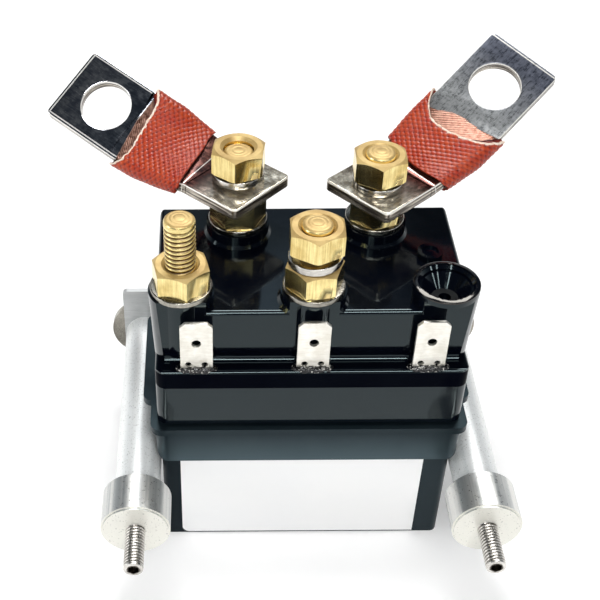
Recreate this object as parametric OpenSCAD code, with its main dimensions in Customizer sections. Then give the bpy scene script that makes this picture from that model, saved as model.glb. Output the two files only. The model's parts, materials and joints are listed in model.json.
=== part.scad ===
// Double coil changeover relay for a bow thruster, millimetres.
// Origin at the centre of the base's underside, +Z up, -Y is the side with the spade tabs and the label.

/* [Coil case] */
// Width of the coil case's box
box_w = 60.1; // [56:0.1:66]
// Depth of the coil case's box, front to back
box_d = 39.8; // [38:0.1:44]
// Corner radius of the box, seen from above
box_r = 1.5; // [0.5:0.1:3]
// Thickness of the case's floor
floor_t = 2.2; // [1.6:0.1:3]
// Thickness of the moulded walls
wall_t = 2; // [1.6:0.1:2.4]
// Height of the skirt's lower edge above the pillars' axes
skirt_rise = 3.8; // [3:0.1:5]
// Distance that the skirt stands proud of the box
skirt_out = 1; // [0.5:0.1:2]
// Radius along the skirt's lower edge
skirt_r = 1.9; // [0.5:0.1:2.5]
// Height of the case's rim above the base
rim_z = 35.1; // [34:0.1:37]
// Thickness of the flange round the rim
flange_t = 1.6; // [1:0.1:2]
// Distance that the flange stands proud of the cover
flange_out = 1.4; // [0.8:0.1:2]
// Further width of the flange's ears, each side
ear_out = 1.7; // [0:0.1:2.2]
// Distance from the flange's front edge to the ears
ear_inset = 8.5; // [6:0.5:12]

/* [Top cover] */
// Amount by which the cover is wider than the box
cover_more_w = 1.3; // [1:0.1:2]
// Amount by which the cover is deeper than the box
cover_more_d = 1.6; // [1:0.1:2]
// Gap between the flange and the cover, filled by the gasket
gasket_t = 0.6; // [0.4:0.1:1]
// Height of the cover's lower, wider part
ledge_h = 14.1; // [12:0.1:16]
// Depth of the ledge that carries the spade tabs
ledge_d = 3.8; // [3:0.1:4.4]
// Depth of the ledge along the back
back_ledge_d = 3.2; // [2:0.1:3.6]
// Height of the deck above the ledge
deck_h = 11.9; // [10:0.1:14]
// Amount by which the deck is narrower than the cover
deck_less_w = 1; // [0.4:0.1:2]
// Thickness of the deck
deck_t = 2.5; // [2:0.1:3]
// Corner radius of the cover, seen from above
cover_r = 2.2; // [1.6:0.1:3]
// Radius along the deck's edges
deck_edge_r = 0.9; // [0.3:0.1:1.5]

/* [Terminal bosses] */
// Radius of a terminal boss
boss_r = 6.4; // [6.1:0.1:6.8]
// Height of a terminal boss above the deck
boss_h = 2.6; // [1.5:0.1:4]
// Distance of the outer front bosses from the cover's sides
front_boss_side = 5.4; // [5:0.1:6]
// Distance of the front bosses behind the cover's upper front wall
front_boss_in = 4.3; // [3.6:0.1:6]
// Half the spacing of the two back bosses
back_boss_x = 14; // [13.5:0.1:14.5]
// Distance of the back bosses in front of the deck's back wall
back_boss_in = 8; // [6.8:0.1:10]
// Depth of the conical recess in the empty boss
funnel_depth = 3.8; // [2:0.1:4.5]
// Radius of the recess at its floor
funnel_floor_r = 2.6; // [2:0.1:4]
// Radius of the small plug in the deck
plug_r = 2.5; // [1.5:0.1:3]
// Height of the small plug above the deck
plug_h = 1.3; // [0.5:0.1:2]

/* [Studs and nuts] */
// Radius of a terminal stud, M6
stud_r = 3; // [2.9:0.05:3.1]
// Width of a nut across its flats
nut_af = 10; // [9.5:0.1:11]
// Height of a nut
nut_h = 5; // [4:0.1:5.4]
// Amount by which the back left stud's lower nut is higher than the others
high_nut_more = 1.1; // [0.5:0.1:1.6]
// Radius of a flat washer
washer_r = 6; // [5.8:0.1:6.3]
// Thickness of a flat washer
washer_t = 1.2; // [0.8:0.1:1.6]
// Outer radius of a spring washer
spring_washer_r = 5.2; // [4.8:0.1:5.4]
// Thickness of a spring washer
spring_washer_t = 1.6; // [1.2:0.1:1.8]
// Height that the right strap's spring washer takes under its nut
right_washer_set = 2.2; // [1.8:0.1:2.8]
// Height that the left strap's spring washer takes under its nut
left_washer_set = 3; // [2:0.1:3.6]
// Height that the loose spring washer on the middle stud takes
spring_washer_free = 3.6; // [2.8:0.1:4]
// Height of the free front stud above its washer
free_stud_h = 15.7; // [13:0.1:18]
// Height that the middle stud stands above its top nut
middle_proud = 0.8; // [0.2:0.1:2]
// Height of the back right stud above its top nut
right_proud = 0.7; // [0.2:0.1:2]
// Depth of the back left stud's end below its nut's top
left_sunk = 0.8; // [0.2:0.1:2]

/* [Straps] */
// Width of a strap's pressed end
strap_w = 16.6; // [15.5:0.1:18]
// Thickness of a strap's pressed end
strap_t = 2.4; // [1.8:0.1:2.8]
// Amount by which the braid between the ends is narrower and thinner
braid_inset = 0.4; // [0.2:0.1:0.6]
// Radius of the hole in a strap's free end, for an M10 stud
lug_hole_r = 5.25; // [5:0.05:5.5]
// Distance from the stud to the strap's near end
strap_end = 6.6; // [6.2:0.1:9]
// Distance from the big hole to the strap's free tip
strap_tip = 9.6; // [8.6:0.1:10.6]
// Length of a pressed end beyond its hole
press_l = 7.4; // [7:0.1:8]
// Distance from the left strap's stud to its big hole, to the left
left_out = 27; // [26:0.1:28]
// Distance from the left strap's stud to its big hole, to the back
left_back = 18; // [17:0.1:19]
// Distance from the left strap's stud to its big hole, upwards
left_up = 7.3; // [6.6:0.1:8]
// Distance from the right strap's stud to its big hole, to the right
right_out = 25.1; // [24.4:0.1:25.8]
// Distance from the right strap's stud to its big hole, to the back
right_back = 18.4; // [17.6:0.1:19.2]
// Distance from the right strap's stud to its big hole, upwards
right_up = 11.9; // [11.2:0.1:12.6]
// Wall of the woven sleeve
sleeve_t = 0.8; // [0.5:0.1:1]
// Gap between the braid and the sleeve
sleeve_gap = 0.3; // [0.15:0.05:0.5]
// Heading of the left strap where it leaves its stud, in degrees
left_lay = 137; // [132:1:142]
// Heading of the left strap's free end
left_heading = 146; // [142:1:150]
// Rise of the left strap's free end
left_rise = 17; // [13:0.1:21]
// Roll of the left strap's free end
left_roll = -31; // [-36:0.1:-26]
// Heading of the right strap where it leaves its stud
right_lay = 42; // [38:0.5:46]
// Heading of the right strap's free end
right_heading = 39; // [35:0.1:43]
// Rise of the right strap's free end
right_rise = 26.3; // [22:0.1:30]
// Roll of the right strap's free end
right_roll = 18.7; // [14:0.1:23]
// Reach of a strap's bend next to its stud
bend_near = 3.5; // [3:0.1:4.5]
// Reach of a strap's bend next to its free end
bend_far = 5; // [4:0.1:6]
// Place where the left sleeve starts, as a share of the braid's run
left_from = 0.31; // [0.2:0.01:0.4]
// Place where the left sleeve ends
left_to = 0.97; // [0.85:0.01:0.97]
// Place where the right sleeve starts
right_from = 0.27; // [0.2:0.01:0.4]
// Place where the right sleeve ends
right_to = 0.97; // [0.85:0.01:0.97]

/* [Spade tabs] */
// Width of a spade tab
tab_w = 6.3; // [6:0.1:6.5]
// Thickness of a spade tab
tab_t = 0.8; // [0.7:0.05:0.9]
// Height of a spade tab above the ledge
tab_h = 11.7; // [9:0.1:13]
// Distance of the outer spade tabs from the cover's sides
tab_side = 8.2; // [7.5:0.1:10]
// Distance of a tab's front face behind the ledge's front edge
tab_in = 0.9; // [0.4:0.1:1.6]
// Depth that a tab reaches below the ledge
tab_root = 6; // [3:0.1:8]
// Height of a sealant bead above the ledge
bead_h = 0.9; // [0.4:0.1:1.4]

/* [Label] */
// Width of the label
label_w = 50.8; // [40:0.1:54]
// Height of the label's lower edge above the base
label_low = 0.5; // [0.3:0.1:4]
// Gap between the label and the skirt above it
label_gap = 0.3; // [0.2:0.1:4]
// Distance of the label's middle to the left of the case's middle
label_left = 0.85; // [0:0.05:1.5]
// Thickness of the label
label_t = 0.15; // [0.1:0.05:0.3]

/* [Pillars and plate] */
// Gap between the box and a pillar
pillar_gap = 0.25; // [0.2:0.05:2]
// Height of the pillars' axes above the base
pillar_z = 22; // [17:0.1:23]
// Length of a pillar with its collar
pillar_l = 59.5; // [56:0.1:70]
// Radius of a pillar
pillar_r = 4.7; // [4:0.1:4.8]
// Radius of a pillar's front collar
collar_r = 7; // [6:0.1:8]
// Length of a pillar's front collar
collar_l = 9.2; // [6:0.1:12]
// Radius of a pillar's front stud, M4
front_stud_r = 2; // [1.5:0.05:2.5]
// Length of a front stud outside its collar
front_stud_l = 9.5; // [7:0.1:14]
// Thickness of the mounting plate
plate_t = 1.2; // [1:0.1:2]
// Distance from a pillar's axis to the near end of the mounting plate
plate_end = 5; // [3.5:0.1:10]
// Height of the mounting plate
plate_h = 24.8; // [20:0.1:26]
// Radius of the round washers behind the plate
rear_washer_r = 8; // [6:0.1:9]
// Thickness of the round washers behind the plate
rear_washer_t = 1.4; // [1:0.1:2]
// Radius of the screws that hold the pillars
rear_screw_r = 2.5; // [2:0.05:3]
// Half the spacing of the plate's own screws
plate_screw_x = 20; // [14:0.5:24]

/* [Magnet system] */
// Radius of a plunger
plunger_r = 5; // [4.5:0.1:5.2]
// Length of a plunger
plunger_l = 12.3; // [10:0.1:14]
// Travel of a plunger between rest and pulled in
travel = 2.5; // [1.5:0.1:2.5]
// Free air left over at either end of the travel
stop_gap = 0.3; // [0.2:0.05:0.4]
// Radial clearance of a plunger in its bobbin
plunger_clear = 0.1; // [0.05:0.01:0.15]
// Wall of the bobbin's tube
bobbin_t = 1.4; // [1:0.1:1.8]
// Gap between the bobbins' end flanges and the yoke
bobbin_gap = 0.15; // [0.1:0.05:1]
// Depth of a winding below the edge of its bobbin
winding_in = 0.5; // [0.3:0.1:2]
// Thickness of the steel yoke
yoke_t = 1.6; // [1.2:0.1:1.8]
// Width of the steel yoke, front to back
yoke_w = 20; // [14:0.5:24]
// Radius of a push rod
rod_r = 1.5; // [1.2:0.05:1.6]
// Radial clearance of a push rod in its guide
rod_clear = 0.1; // [0.05:0.01:0.15]
// Wire radius of the springs
wire_r = 0.3; // [0.2:0.02:0.35]

/* [Contacts] */
// Thickness of the contact bars
bar_t = 2; // [1.5:0.1:2.2]
// Width of the moving contacts and the motor terminals
bar_w = 9; // [7:0.1:10]
// Gap between a moving contact and the fold of its terminal
bridge_gap = 0.9; // [0.5:0.1:1.5]
// Radius of a contact button
button_r = 2.6; // [2:0.1:3]
// Height of a contact button
button_h = 0.8; // [0.5:0.1:1]
// Thickness of a moving contact
bridge_t = 1.6; // [1.2:0.1:2]
// Thickness of the insulating contact base
base_plate_t = 1.9; // [1.5:0.1:2.5]

/* [Hidden] */
$fn = 64;

// Clearance of parts that are fixed in each other
fix_gap = 0.05;
// Clearance of screws and studs in plain holes
hole_gap = 0.2;
// Overlap of shapes that are joined into one solid
lap = 0.1;
// Overrun of a cutter past the surface that it cuts
cut = 1;
// Amount by which a stud is thinner where it is held in another part
held_less = 0.2;
// Heights of the housing's levels
skirt_z = pillar_z + skirt_rise;
cover_z = rim_z + gasket_t;
ledge_z = cover_z + ledge_h;
deck_z = ledge_z + deck_h;
boss_z = deck_z + boss_h;
washer_z = boss_z + washer_t;
lower_nut_z = washer_z + nut_h;
left_seat_z = lower_nut_z + high_nut_more;
// Widths and depths of the housing
cover_w = box_w + cover_more_w;
cover_d = box_d + cover_more_d;
deck_w = cover_w - deck_less_w;
cover_front = -cover_d / 2;
deck_front = cover_front + ledge_d;
deck_back = cover_d / 2 - back_ledge_d;
flange_d = cover_d + 2 * flange_out;
flange_w = cover_w + 2 * flange_out;
skirt_w = box_w + 2 * skirt_out;
skirt_d = box_d + 4 * skirt_out;
cavity_w = box_w - 2 * wall_t;
cavity_d = box_d - 2 * wall_t;
cover_inner_w = cover_w - 2 * wall_t;
cover_inner_d = cover_d - 2 * wall_t;
// Posts for the screws that hold the cover, inside the corners
post_r = 2.6;
post_in = 2.2;
post_x = cavity_w / 2 - post_in;
post_y = cavity_d / 2 - post_in;
case_screw_r = 1.3;
case_screw_head_r = 2;
// Places of the terminals
front_boss_x = cover_w / 2 - front_boss_side;
front_y = deck_front + front_boss_in;
back_y = deck_back - back_boss_in;
stud_places = [[-front_boss_x, front_y], [0, front_y], [-back_boss_x, back_y], [back_boss_x, back_y]];
middle_nut_z = lower_nut_z + spring_washer_free;
left_nut_z = left_seat_z + strap_t + left_washer_set;
right_nut_z = lower_nut_z + strap_t + right_washer_set;
tab_y = cover_front + tab_in;
tab_pitch = cover_w / 2 - tab_side;
// Place of the small plug in the deck, a little behind the middle of the two rows
plug_in = 1;
plug_behind = 1.85;
plug_place = [front_boss_x - plug_in, (front_y + back_y) / 2 + plug_behind];
plug_peg_r = plug_r - 0.6;
// Magnet system, from the case's floor up
bobbin_z = floor_t + yoke_t;
pad_t = 1;
plunger_z = bobbin_z + pad_t + fix_gap;
core_z = plunger_z + plunger_l + travel + stop_gap;
top_plate_drop = 3.7;
top_plate_z = rim_z - top_plate_drop;
yoke_gap = 0.1;
yoke_leg_x = cavity_w / 2 - yoke_gap - yoke_t;
bobbin_r = min(back_boss_x - yoke_t / 2, yoke_leg_x - back_boss_x) - bobbin_gap;
bobbin_flange_t = 1.2;
bobbin_bore_r = plunger_r + plunger_clear;
bobbin_tube_r = bobbin_bore_r + bobbin_t;
core_neck_r = 4;
// Springs, with a small gap at either end
spring_r = 2.4;
spring_gap = 0.02;
pocket_r = spring_r + wire_r + 0.5;
pocket_depth = 6;
plunger_pocket_z = plunger_z + plunger_l - pocket_depth + 1;
rod_seat_z = plunger_z + 3;
// Contacts, from the insulating base up
base_plate_z = rim_z;
lower_bar_z = base_plate_z + base_plate_t;
contact_gap = 0.1;
bridge_z = lower_bar_z + bar_t + 2 * button_h + contact_gap;
bridge_top = bridge_z + bridge_t;
upper_bar_z = bridge_top + 2 * button_h + travel + stop_gap;
rod_collar_r = 3.2;
rod_collar_t = 0.6;
rod_collar_z = lower_bar_z + 0.25;
terminal_back = deck_back - wall_t - 0.3;
bridge_half = terminal_back - bar_t - bridge_gap;
button_edge = 0.5;
button_y = bridge_half - button_edge - button_r;
bar_near = button_y - button_r - 2;
bar_front = deck_front + wall_t + 0.2;
// Feet of the terminal studs
stud_seat_z = upper_bar_z + bar_t;
stud_collar_r = 4;
stud_collar_t = 1.9;
spigot_r = 2;
blind_floor = 0.6;
end_chamfer = 0.6;
// Pillars and plate
pillar_x = box_w / 2 + pillar_gap + pillar_r;
plate_y = flange_d / 2 + 0.4;
pillar_front = plate_y - pillar_l;
plate_back = plate_y + plate_t;
front_bore = 10;
front_bore_r = front_stud_r - held_less;
rear_bore = 12;
plate_screw_r = 1.5;
plate_boss_r = 4;

case_black = [0.055, 0.06, 0.065];
cover_black = [0.02, 0.022, 0.026];
base_brown = [0.3, 0.22, 0.16];
rubber_grey = [0.3, 0.3, 0.31];
brass = [0.82, 0.66, 0.32];
steel = [0.7, 0.7, 0.72];
tin = [0.85, 0.85, 0.84];
copper = [0.78, 0.45, 0.32];
silicone_red = [0.68, 0.19, 0.12];
aluminium = [0.78, 0.79, 0.8];
nylon = [0.88, 0.86, 0.8];

// Flat shape of a rectangle with rounded corners
module rounded_rect(w, d, r) {
  square([w - 2 * r, d], center = true);
  square([w, d - 2 * r], center = true);
  for (x = [-1, 1], y = [-1, 1])
    translate([x * (w / 2 - r), y * (d / 2 - r)]) circle(r);
}

// Upright block with rounded corners, standing at height z
module rounded_block(w, d, h, r, z = 0) {
  translate([0, 0, z]) linear_extrude(h) rounded_rect(w, d, r);
}

// Upright round bar at a place from z_low to z_high
module bar_z(place, r, z_low, z_high) {
  translate([place[0], place[1], z_low]) cylinder(r = r, h = z_high - z_low);
}

// Upright tube on the Z axis from z_low to z_high
module tube(r_out, r_in, z_low, z_high) {
  difference() {
    bar_z([0, 0], r_out, z_low, z_high);
    bar_z([0, 0], r_in, z_low - cut, z_high + cut);
  }
}

// Bar or cone along Y from y_low to y_high
module bar_y(x, y_low, y_high, r, r_end) {
  translate([x, y_low, pillar_z]) rotate([-90, 0, 0]) cylinder(r1 = r, r2 = r_end, h = y_high - y_low);
}

// Prism along Y whose section in X and Z is w wide, with its top corners rounded
module round_topped(w, z_low, z_high, r, length) {
  rotate([90, 0, 0]) linear_extrude(length, center = true) {
    translate([-w / 2, z_low]) square([w, z_high - z_low - r]);
    translate([-w / 2 + r, z_low]) square([w - 2 * r, z_high - z_low]);
    for (x = [-1, 1]) translate([x * (w / 2 - r), z_high - r]) circle(r);
  }
}

// Copies at the four posts
module at_posts() {
  for (x = [-1, 1], y = [-1, 1]) translate([x * post_x, y * post_y, 0]) children();
}

// Hexagon nut with chamfered corners, h high; turn is the angle of one of its corners
module hex_nut(turn, h) {
  corner = nut_af / 2 / cos(30);
  face_r = nut_af / 2 - 0.25;
  wide = corner + 1;
  drop = (wide - face_r) * tan(30);
  lead = 0.6;
  difference() {
    intersection() {
      rotate([0, 0, turn]) cylinder(r = corner, h = h, $fn = 6);
      rotate_extrude() polygon([
        [0, 0], [face_r, 0], [wide, drop], [wide, h - drop], [face_r, h], [0, h]
      ]);
    }
    bar_z([0, 0], stud_r + fix_gap, -cut, h + cut);
    translate([0, 0, h - lead + lap]) cylinder(r1 = stud_r, r2 = stud_r + lead, h = lead);
  }
}

// Triangles that join each ring of n points to the next
function ring_faces(n, rings) = [for (i = [0:rings - 2]) for (j = [0:n - 1])
  let (k = (j + 1) % n, a = n * i, b = n * (i + 1))
  for (f = [[a + j, b + k, a + k], [a + j, b + j, b + k]]) f];
// Flat faces over the first and the last ring
function end_faces(n, rings) =
  [[for (j = [0:n - 1]) j], [for (j = [n - 1:-1:0]) n * (rings - 1) + j]];

// Split spring washer that climbs by rise over one turn, swept as a ring of flat sections
module split_washer(rise, open_at) {
  r_in = stud_r + 0.15;
  steps = 24;
  gap = 8;
  t = spring_washer_t;
  section = [[r_in, 0], [r_in, t], [spring_washer_r, t], [spring_washer_r, 0]];
  points = [for (i = [0:steps]) for (q = section)
    let (a = open_at + gap / 2 + (360 - gap) * i / steps)
    [q[0] * cos(a), q[0] * sin(a), q[1] + rise * i / steps]];
  polyhedron(points, concat(ring_faces(4, steps + 1), end_faces(4, steps + 1)));
}

// Coil spring of round wire between two heights
module coil_spring(turns, z_low, z_high) {
  around = 14;
  sides = 6;
  steps = around * turns;
  low = z_low + spring_gap + wire_r;
  climb = z_high - spring_gap - wire_r - low;
  points = [for (i = [0:steps]) for (j = [0:sides - 1])
    let (a = 360 * i / around, b = -360 * j / sides, q = spring_r + wire_r * cos(b))
    [q * cos(a), q * sin(a), low + climb * i / steps + wire_r * sin(b)]];
  polyhedron(points, concat(ring_faces(sides, steps + 1), end_faces(sides, steps + 1)));
}

// Direction of travel of a strap's end, from its heading and rise
function along(heading, rise) =
  [cos(heading) * cos(rise), sin(heading) * cos(rise), sin(rise)];
// Normal of a strap's end, from its heading, rise and roll
function face_up(heading, rise, roll) =
  cos(roll) * [-cos(heading) * sin(rise), -sin(heading) * sin(rise), cos(rise)]
  - sin(roll) * [-sin(heading), cos(heading), 0];
function unit(v) = v / norm(v);
function bezier(a, b, c, d, t) =
  pow(1 - t, 3) * a + 3 * t * pow(1 - t, 2) * b + 3 * t * t * (1 - t) * c + t * t * t * d;
function bezier_slope(a, b, c, d, t) =
  3 * pow(1 - t, 2) * (b - a) + 6 * t * (1 - t) * (c - b) + 3 * t * t * (d - c);

left_foot = [-back_boss_x, back_y, left_seat_z + strap_t / 2];
right_foot = [back_boss_x, back_y, lower_nut_z + strap_t / 2];
// A strap is [foot, hole, lay, heading, rise, roll, sleeve from, sleeve to]; both places lie
// on its middle surface
left_hole = left_foot + [-left_out, left_back, left_up];
right_hole = right_foot + [right_out, right_back, right_up];
left_strap =
  [left_foot, left_hole, left_lay, left_heading, left_rise, left_roll, left_from, left_to];
right_strap =
  [right_foot, right_hole, right_lay, right_heading, right_rise, right_roll, right_from, right_to];

function strap_start(s) = s[0] + press_l * along(s[2], 0);
function strap_finish(s) = s[1] - press_l * along(s[3], s[4]);
function strap_at(s, t) = bezier(
  strap_start(s), strap_start(s) + bend_near * along(s[2], 0),
  strap_finish(s) - bend_far * along(s[3], s[4]), strap_finish(s), t);
function strap_slope(s, t) = unit(bezier_slope(
  strap_start(s), strap_start(s) + bend_near * along(s[2], 0),
  strap_finish(s) - bend_far * along(s[3], s[4]), strap_finish(s), t));
function strap_blend(t) = t * t * (3 - 2 * t);
function strap_up(s, t) =
  let (e = strap_slope(s, t),
       n = (1 - strap_blend(t)) * [0, 0, 1] + strap_blend(t) * face_up(s[3], s[4], s[5]))
  unit(n - (n * e) * e);
// Point of a strap's section at t: v across its width and w through its thickness
function strap_point(s, t, v, w) =
  let (c = min(max(t, 0), 1),
       place = strap_at(s, c) + (t - c) * 3 * (t < 0 ? bend_near : bend_far) * strap_slope(s, c))
  place + v * cross(strap_up(s, c), strap_slope(s, c)) + w * strap_up(s, c);
function strap_rings(s, section, t_low, t_high, steps) =
  [for (i = [0:steps]) for (q = section)
    strap_point(s, t_low + (t_high - t_low) * i / steps, q[0], q[1])];

// Outline of a flat oval section, w wide and t thick
function oval(w, t, n) = [for (i = [0:n - 1])
  let (a = 360 * (i + 0.5) / n, side = cos(a) > 0 ? 1 : -1)
  [side * (w - t) / 2 + t / 2 * cos(a), t / 2 * sin(a)]];

// Pressed end of a strap, lying in X and Y with the hole at the origin
module pressed_end(far, near, hole_r) {
  corner_r = 1;
  difference() {
    translate([(far - near) / 2, 0, 0]) rounded_block(far + near, strap_w, strap_t, corner_r, -strap_t / 2);
    bar_z([0, 0], hole_r, -strap_t, strap_t);
  }
}

// Braid that runs a little way into the pressed ends
module braid(s) {
  steps = 14;
  root = 0.1;
  half_w = strap_w / 2 - braid_inset;
  half_t = (strap_t - braid_inset) / 2;
  section = [[-half_w, -half_t], [half_w, -half_t], [half_w, half_t], [-half_w, half_t]];
  polyhedron(strap_rings(s, section, -root, 1 + root, steps),
    concat(ring_faces(4, steps + 1), end_faces(4, steps + 1)));
}

module strap(s) {
  color(tin) {
    translate(s[0]) rotate([0, 0, s[2]]) pressed_end(press_l, strap_end, stud_r + hole_gap);
    translate(s[1]) rotate([0, 0, s[3]]) rotate([0, -s[4], 0]) rotate([s[5], 0, 0])
      pressed_end(strap_tip, press_l, lug_hole_r);
  }
  color(copper) braid(s);
}

// Woven sleeve round the braid, open at both ends
module sleeve(s) {
  n = 24;
  steps = 14;
  inner_w = strap_w + 2 * sleeve_gap;
  inner_t = strap_t + 2 * sleeve_gap;
  outer = strap_rings(s, oval(inner_w + 2 * sleeve_t, inner_t + 2 * sleeve_t, n), s[6], s[7], steps);
  inner = strap_rings(s, oval(inner_w, inner_t, n), s[6], s[7], steps);
  inside = n * (steps + 1);
  last = n * steps;
  skin = ring_faces(n, steps + 1);
  lining = [for (f = skin) [inside + f[2], inside + f[1], inside + f[0]]];
  low_lip = [for (j = [0:n - 1]) let (k = (j + 1) % n)
    for (f = [[k, inside + j, j], [k, inside + k, inside + j]]) f];
  high_lip = [for (f = low_lip) [last + f[0], last + f[2], last + f[1]]];
  color(silicone_red) polyhedron(concat(outer, inner), concat(skin, lining, low_lip, high_lip));
}

module coil_case() {
  skirt_top = rim_z - 0.5;
  box_top = rim_z - 1;
  head_depth = 2;
  ear_r = 2;
  color(case_black) difference() {
    union() {
      rounded_block(box_w, box_d, box_top, box_r);
      intersection() {
        rounded_block(skirt_w, skirt_d, skirt_top - skirt_z, box_r + skirt_out, skirt_z);
        rotate([180, 0, 0]) round_topped(skirt_w, -rim_z, -skirt_z, skirt_r, flange_d);
      }
      rounded_block(flange_w, flange_d, flange_t, cover_r, rim_z - flange_t);
      rounded_block(flange_w + 2 * ear_out, flange_d - 2 * ear_inset, flange_t, ear_r, rim_z - flange_t);
      for (x = [-1, 1]) bar_y(x * plate_screw_x, box_d / 2 - cut, plate_y, plate_boss_r, plate_boss_r);
    }
    difference() {
      rounded_block(cavity_w, cavity_d, rim_z, box_r, floor_t);
      at_posts() bar_z([0, 0], post_r, 0, rim_z);
    }
    at_posts() {
      bar_z([0, 0], case_screw_r + hole_gap, -cut, rim_z + cut);
      bar_z([0, 0], case_screw_head_r + hole_gap, -cut, head_depth);
    }
    for (x = [-1, 1])
      bar_y(x * plate_screw_x, box_d / 2 - wall_t + hole_gap, plate_y + cut,
        plate_screw_r + fix_gap, plate_screw_r + fix_gap);
  }
}

module case_gasket() {
  outer_in = 1.8;
  inner_gap = 0.2;
  color(rubber_grey) difference() {
    rounded_block(cover_w - outer_in, cover_d - outer_in, gasket_t, cover_r, rim_z);
    rounded_block(cover_inner_w + inner_gap, cover_inner_d + inner_gap, 2 * cut, cover_r - 1, rim_z - lap);
  }
}

// Outside of the cover, without its bosses
module cover_block() {
  ledge_edge_r = 0.7;
  deck_y = (deck_front + deck_back) / 2;
  deck_d = deck_back - deck_front;
  intersection() {
    rounded_block(cover_w, cover_d, ledge_h, cover_r, cover_z);
    round_topped(cover_w, cover_z - cut, ledge_z, ledge_edge_r, cover_d + cut);
    rotate([0, 0, 90]) round_topped(cover_d, cover_z - cut, ledge_z, ledge_edge_r, cover_w + cut);
  }
  intersection() {
    translate([0, deck_y, 0])
      rounded_block(deck_w, deck_d, deck_z - cover_z - wall_t, cover_r, cover_z + wall_t);
    round_topped(deck_w, cover_z, deck_z, deck_edge_r, cover_d);
    translate([0, deck_y, 0]) rotate([0, 0, 90]) round_topped(deck_d, cover_z, deck_z, deck_edge_r, cover_w);
  }
}

// Everything behind the deck's front wall
module behind_front() {
  translate([-cover_w, deck_front, cover_z]) cube([2 * cover_w, cover_d, deck_z]);
}

// The outer front bosses run down the corners and taper into the side walls
module corner_boss(side) {
  foot_z = ledge_z - 5;
  intersection() {
    translate([side * front_boss_x, front_y, foot_z])
      cylinder(r1 = front_boss_side, r2 = boss_r, h = boss_z - foot_z);
    behind_front();
  }
}

module round_boss(place) {
  foot = 0.6;
  bar_z(place, boss_r, deck_z - deck_t, boss_z);
  translate([place[0], place[1], deck_z - lap])
    cylinder(r1 = boss_r + foot, r2 = boss_r, h = foot + lap);
}

// Section of the empty boss's raised rim
module funnel_rim() {
  rim_w = 1.4;
  edge_r = 0.5;
  inner = boss_r - rim_w;
  translate([inner, -lap]) square([rim_w, washer_t - edge_r + lap]);
  translate([inner, -lap]) square([rim_w - edge_r, washer_t + lap]);
  translate([boss_r - edge_r, washer_t - edge_r]) circle(edge_r);
}

// Hollow of the cover: a wide chamber under the ledge and a narrower one under the deck
module cover_cavity() {
  inner_r = cover_r - 1;
  chamber_d = deck_back - deck_front - 2 * wall_t;
  rounded_block(cover_inner_w, cover_inner_d, ledge_h - wall_t + cut, inner_r, cover_z - cut);
  translate([0, (deck_front + deck_back) / 2, 0])
    rounded_block(deck_w - 2 * wall_t, chamber_d, deck_z - deck_t - cover_z, inner_r, cover_z);
}

module top_cover() {
  column_r = 5;
  collar_room = stud_collar_t + lap;
  funnel_z = washer_z - funnel_depth;
  funnel_hole_r = 1.2;
  empty_boss = [front_boss_x, front_y];
  color(cover_black) difference() {
    union() {
      difference() {
        union() {
          cover_block();
          for (side = [-1, 1]) corner_boss(side);
        }
        cover_cavity();
      }
      intersection() {
        round_boss(stud_places[1]);
        behind_front();
      }
      for (i = [2, 3]) round_boss(stud_places[i]);
      for (q = stud_places) bar_z(q, column_r, stud_seat_z + collar_room, deck_z - cut);
      translate([front_boss_x, front_y, boss_z]) rotate_extrude() funnel_rim();
      at_posts() bar_z([0, 0], post_r, lower_bar_z + lap, ledge_z - cut);
    }
    for (q = stud_places) bar_z(q, stud_r + fix_gap, cover_z, washer_z);
    bar_z(stud_places[0], stud_collar_r + fix_gap, cover_z, stud_seat_z + collar_room);
    translate([front_boss_x, front_y, funnel_z])
      cylinder(r1 = funnel_floor_r, r2 = boss_r - 0.7, h = funnel_depth + lap);
    bar_z(empty_boss, funnel_hole_r, funnel_z - 1, funnel_z + 1);
    bar_z(plug_place, plug_peg_r, deck_z - deck_t - cut, deck_z + cut);
    for (x = [-1, 0, 1])
      translate([x * tab_pitch - tab_w / 2 - lap, tab_y - lap, ledge_z - tab_root - lap])
        cube([tab_w + 2 * lap, tab_t + 2 * lap, tab_root + cut]);
    at_posts() bar_z([0, 0], case_screw_r + fix_gap, cover_z - cut, cover_z + 8);
  }
}

// Insulating base on four feet that stand on the yoke
module contact_base() {
  foot_r = 1.5;
  foot_x = 8;
  foot_y = yoke_w / 2 - 3;
  side_gap = 0.3;
  end_gap = 0.4;
  color(base_brown) difference() {
    union() {
      rounded_block(cover_inner_w - side_gap, cover_inner_d - end_gap, base_plate_t, 1, base_plate_z);
      for (x = [-1, 1], y = [-1, 1])
        bar_z([x * foot_x, y * foot_y], foot_r, top_plate_z + yoke_t + lap, base_plate_z + lap);
    }
    for (x = [-1, 1]) bar_z([x * back_boss_x, 0], rod_r + 0.6, base_plate_z - cut, lower_bar_z + cut);
    at_posts() bar_z([0, 0], case_screw_r + hole_gap, base_plate_z - cut, lower_bar_z + cut);
    bar_z(stud_places[1], spigot_r + fix_gap, base_plate_z - cut, lower_bar_z + cut);
  }
}

// Strip folded up at both ends, with a third leg between the coils
module yoke_frame() {
  color(steel) {
    translate([-yoke_leg_x - yoke_t, -yoke_w / 2, floor_t]) cube([2 * (yoke_leg_x + yoke_t), yoke_w, yoke_t]);
    for (x = [-yoke_leg_x - yoke_t, -yoke_t / 2, yoke_leg_x])
      translate([x, -yoke_w / 2, floor_t]) cube([yoke_t, yoke_w, top_plate_z - floor_t]);
  }
}

module yoke_top_plate() {
  w = 2 * (yoke_leg_x + yoke_t);
  color(steel) difference() {
    translate([-w / 2, -yoke_w / 2, top_plate_z]) cube([w, yoke_w, yoke_t]);
    for (x = [-1, 1]) bar_z([x * back_boss_x, 0], core_neck_r, top_plate_z - cut, top_plate_z + yoke_t + cut);
  }
}

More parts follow.
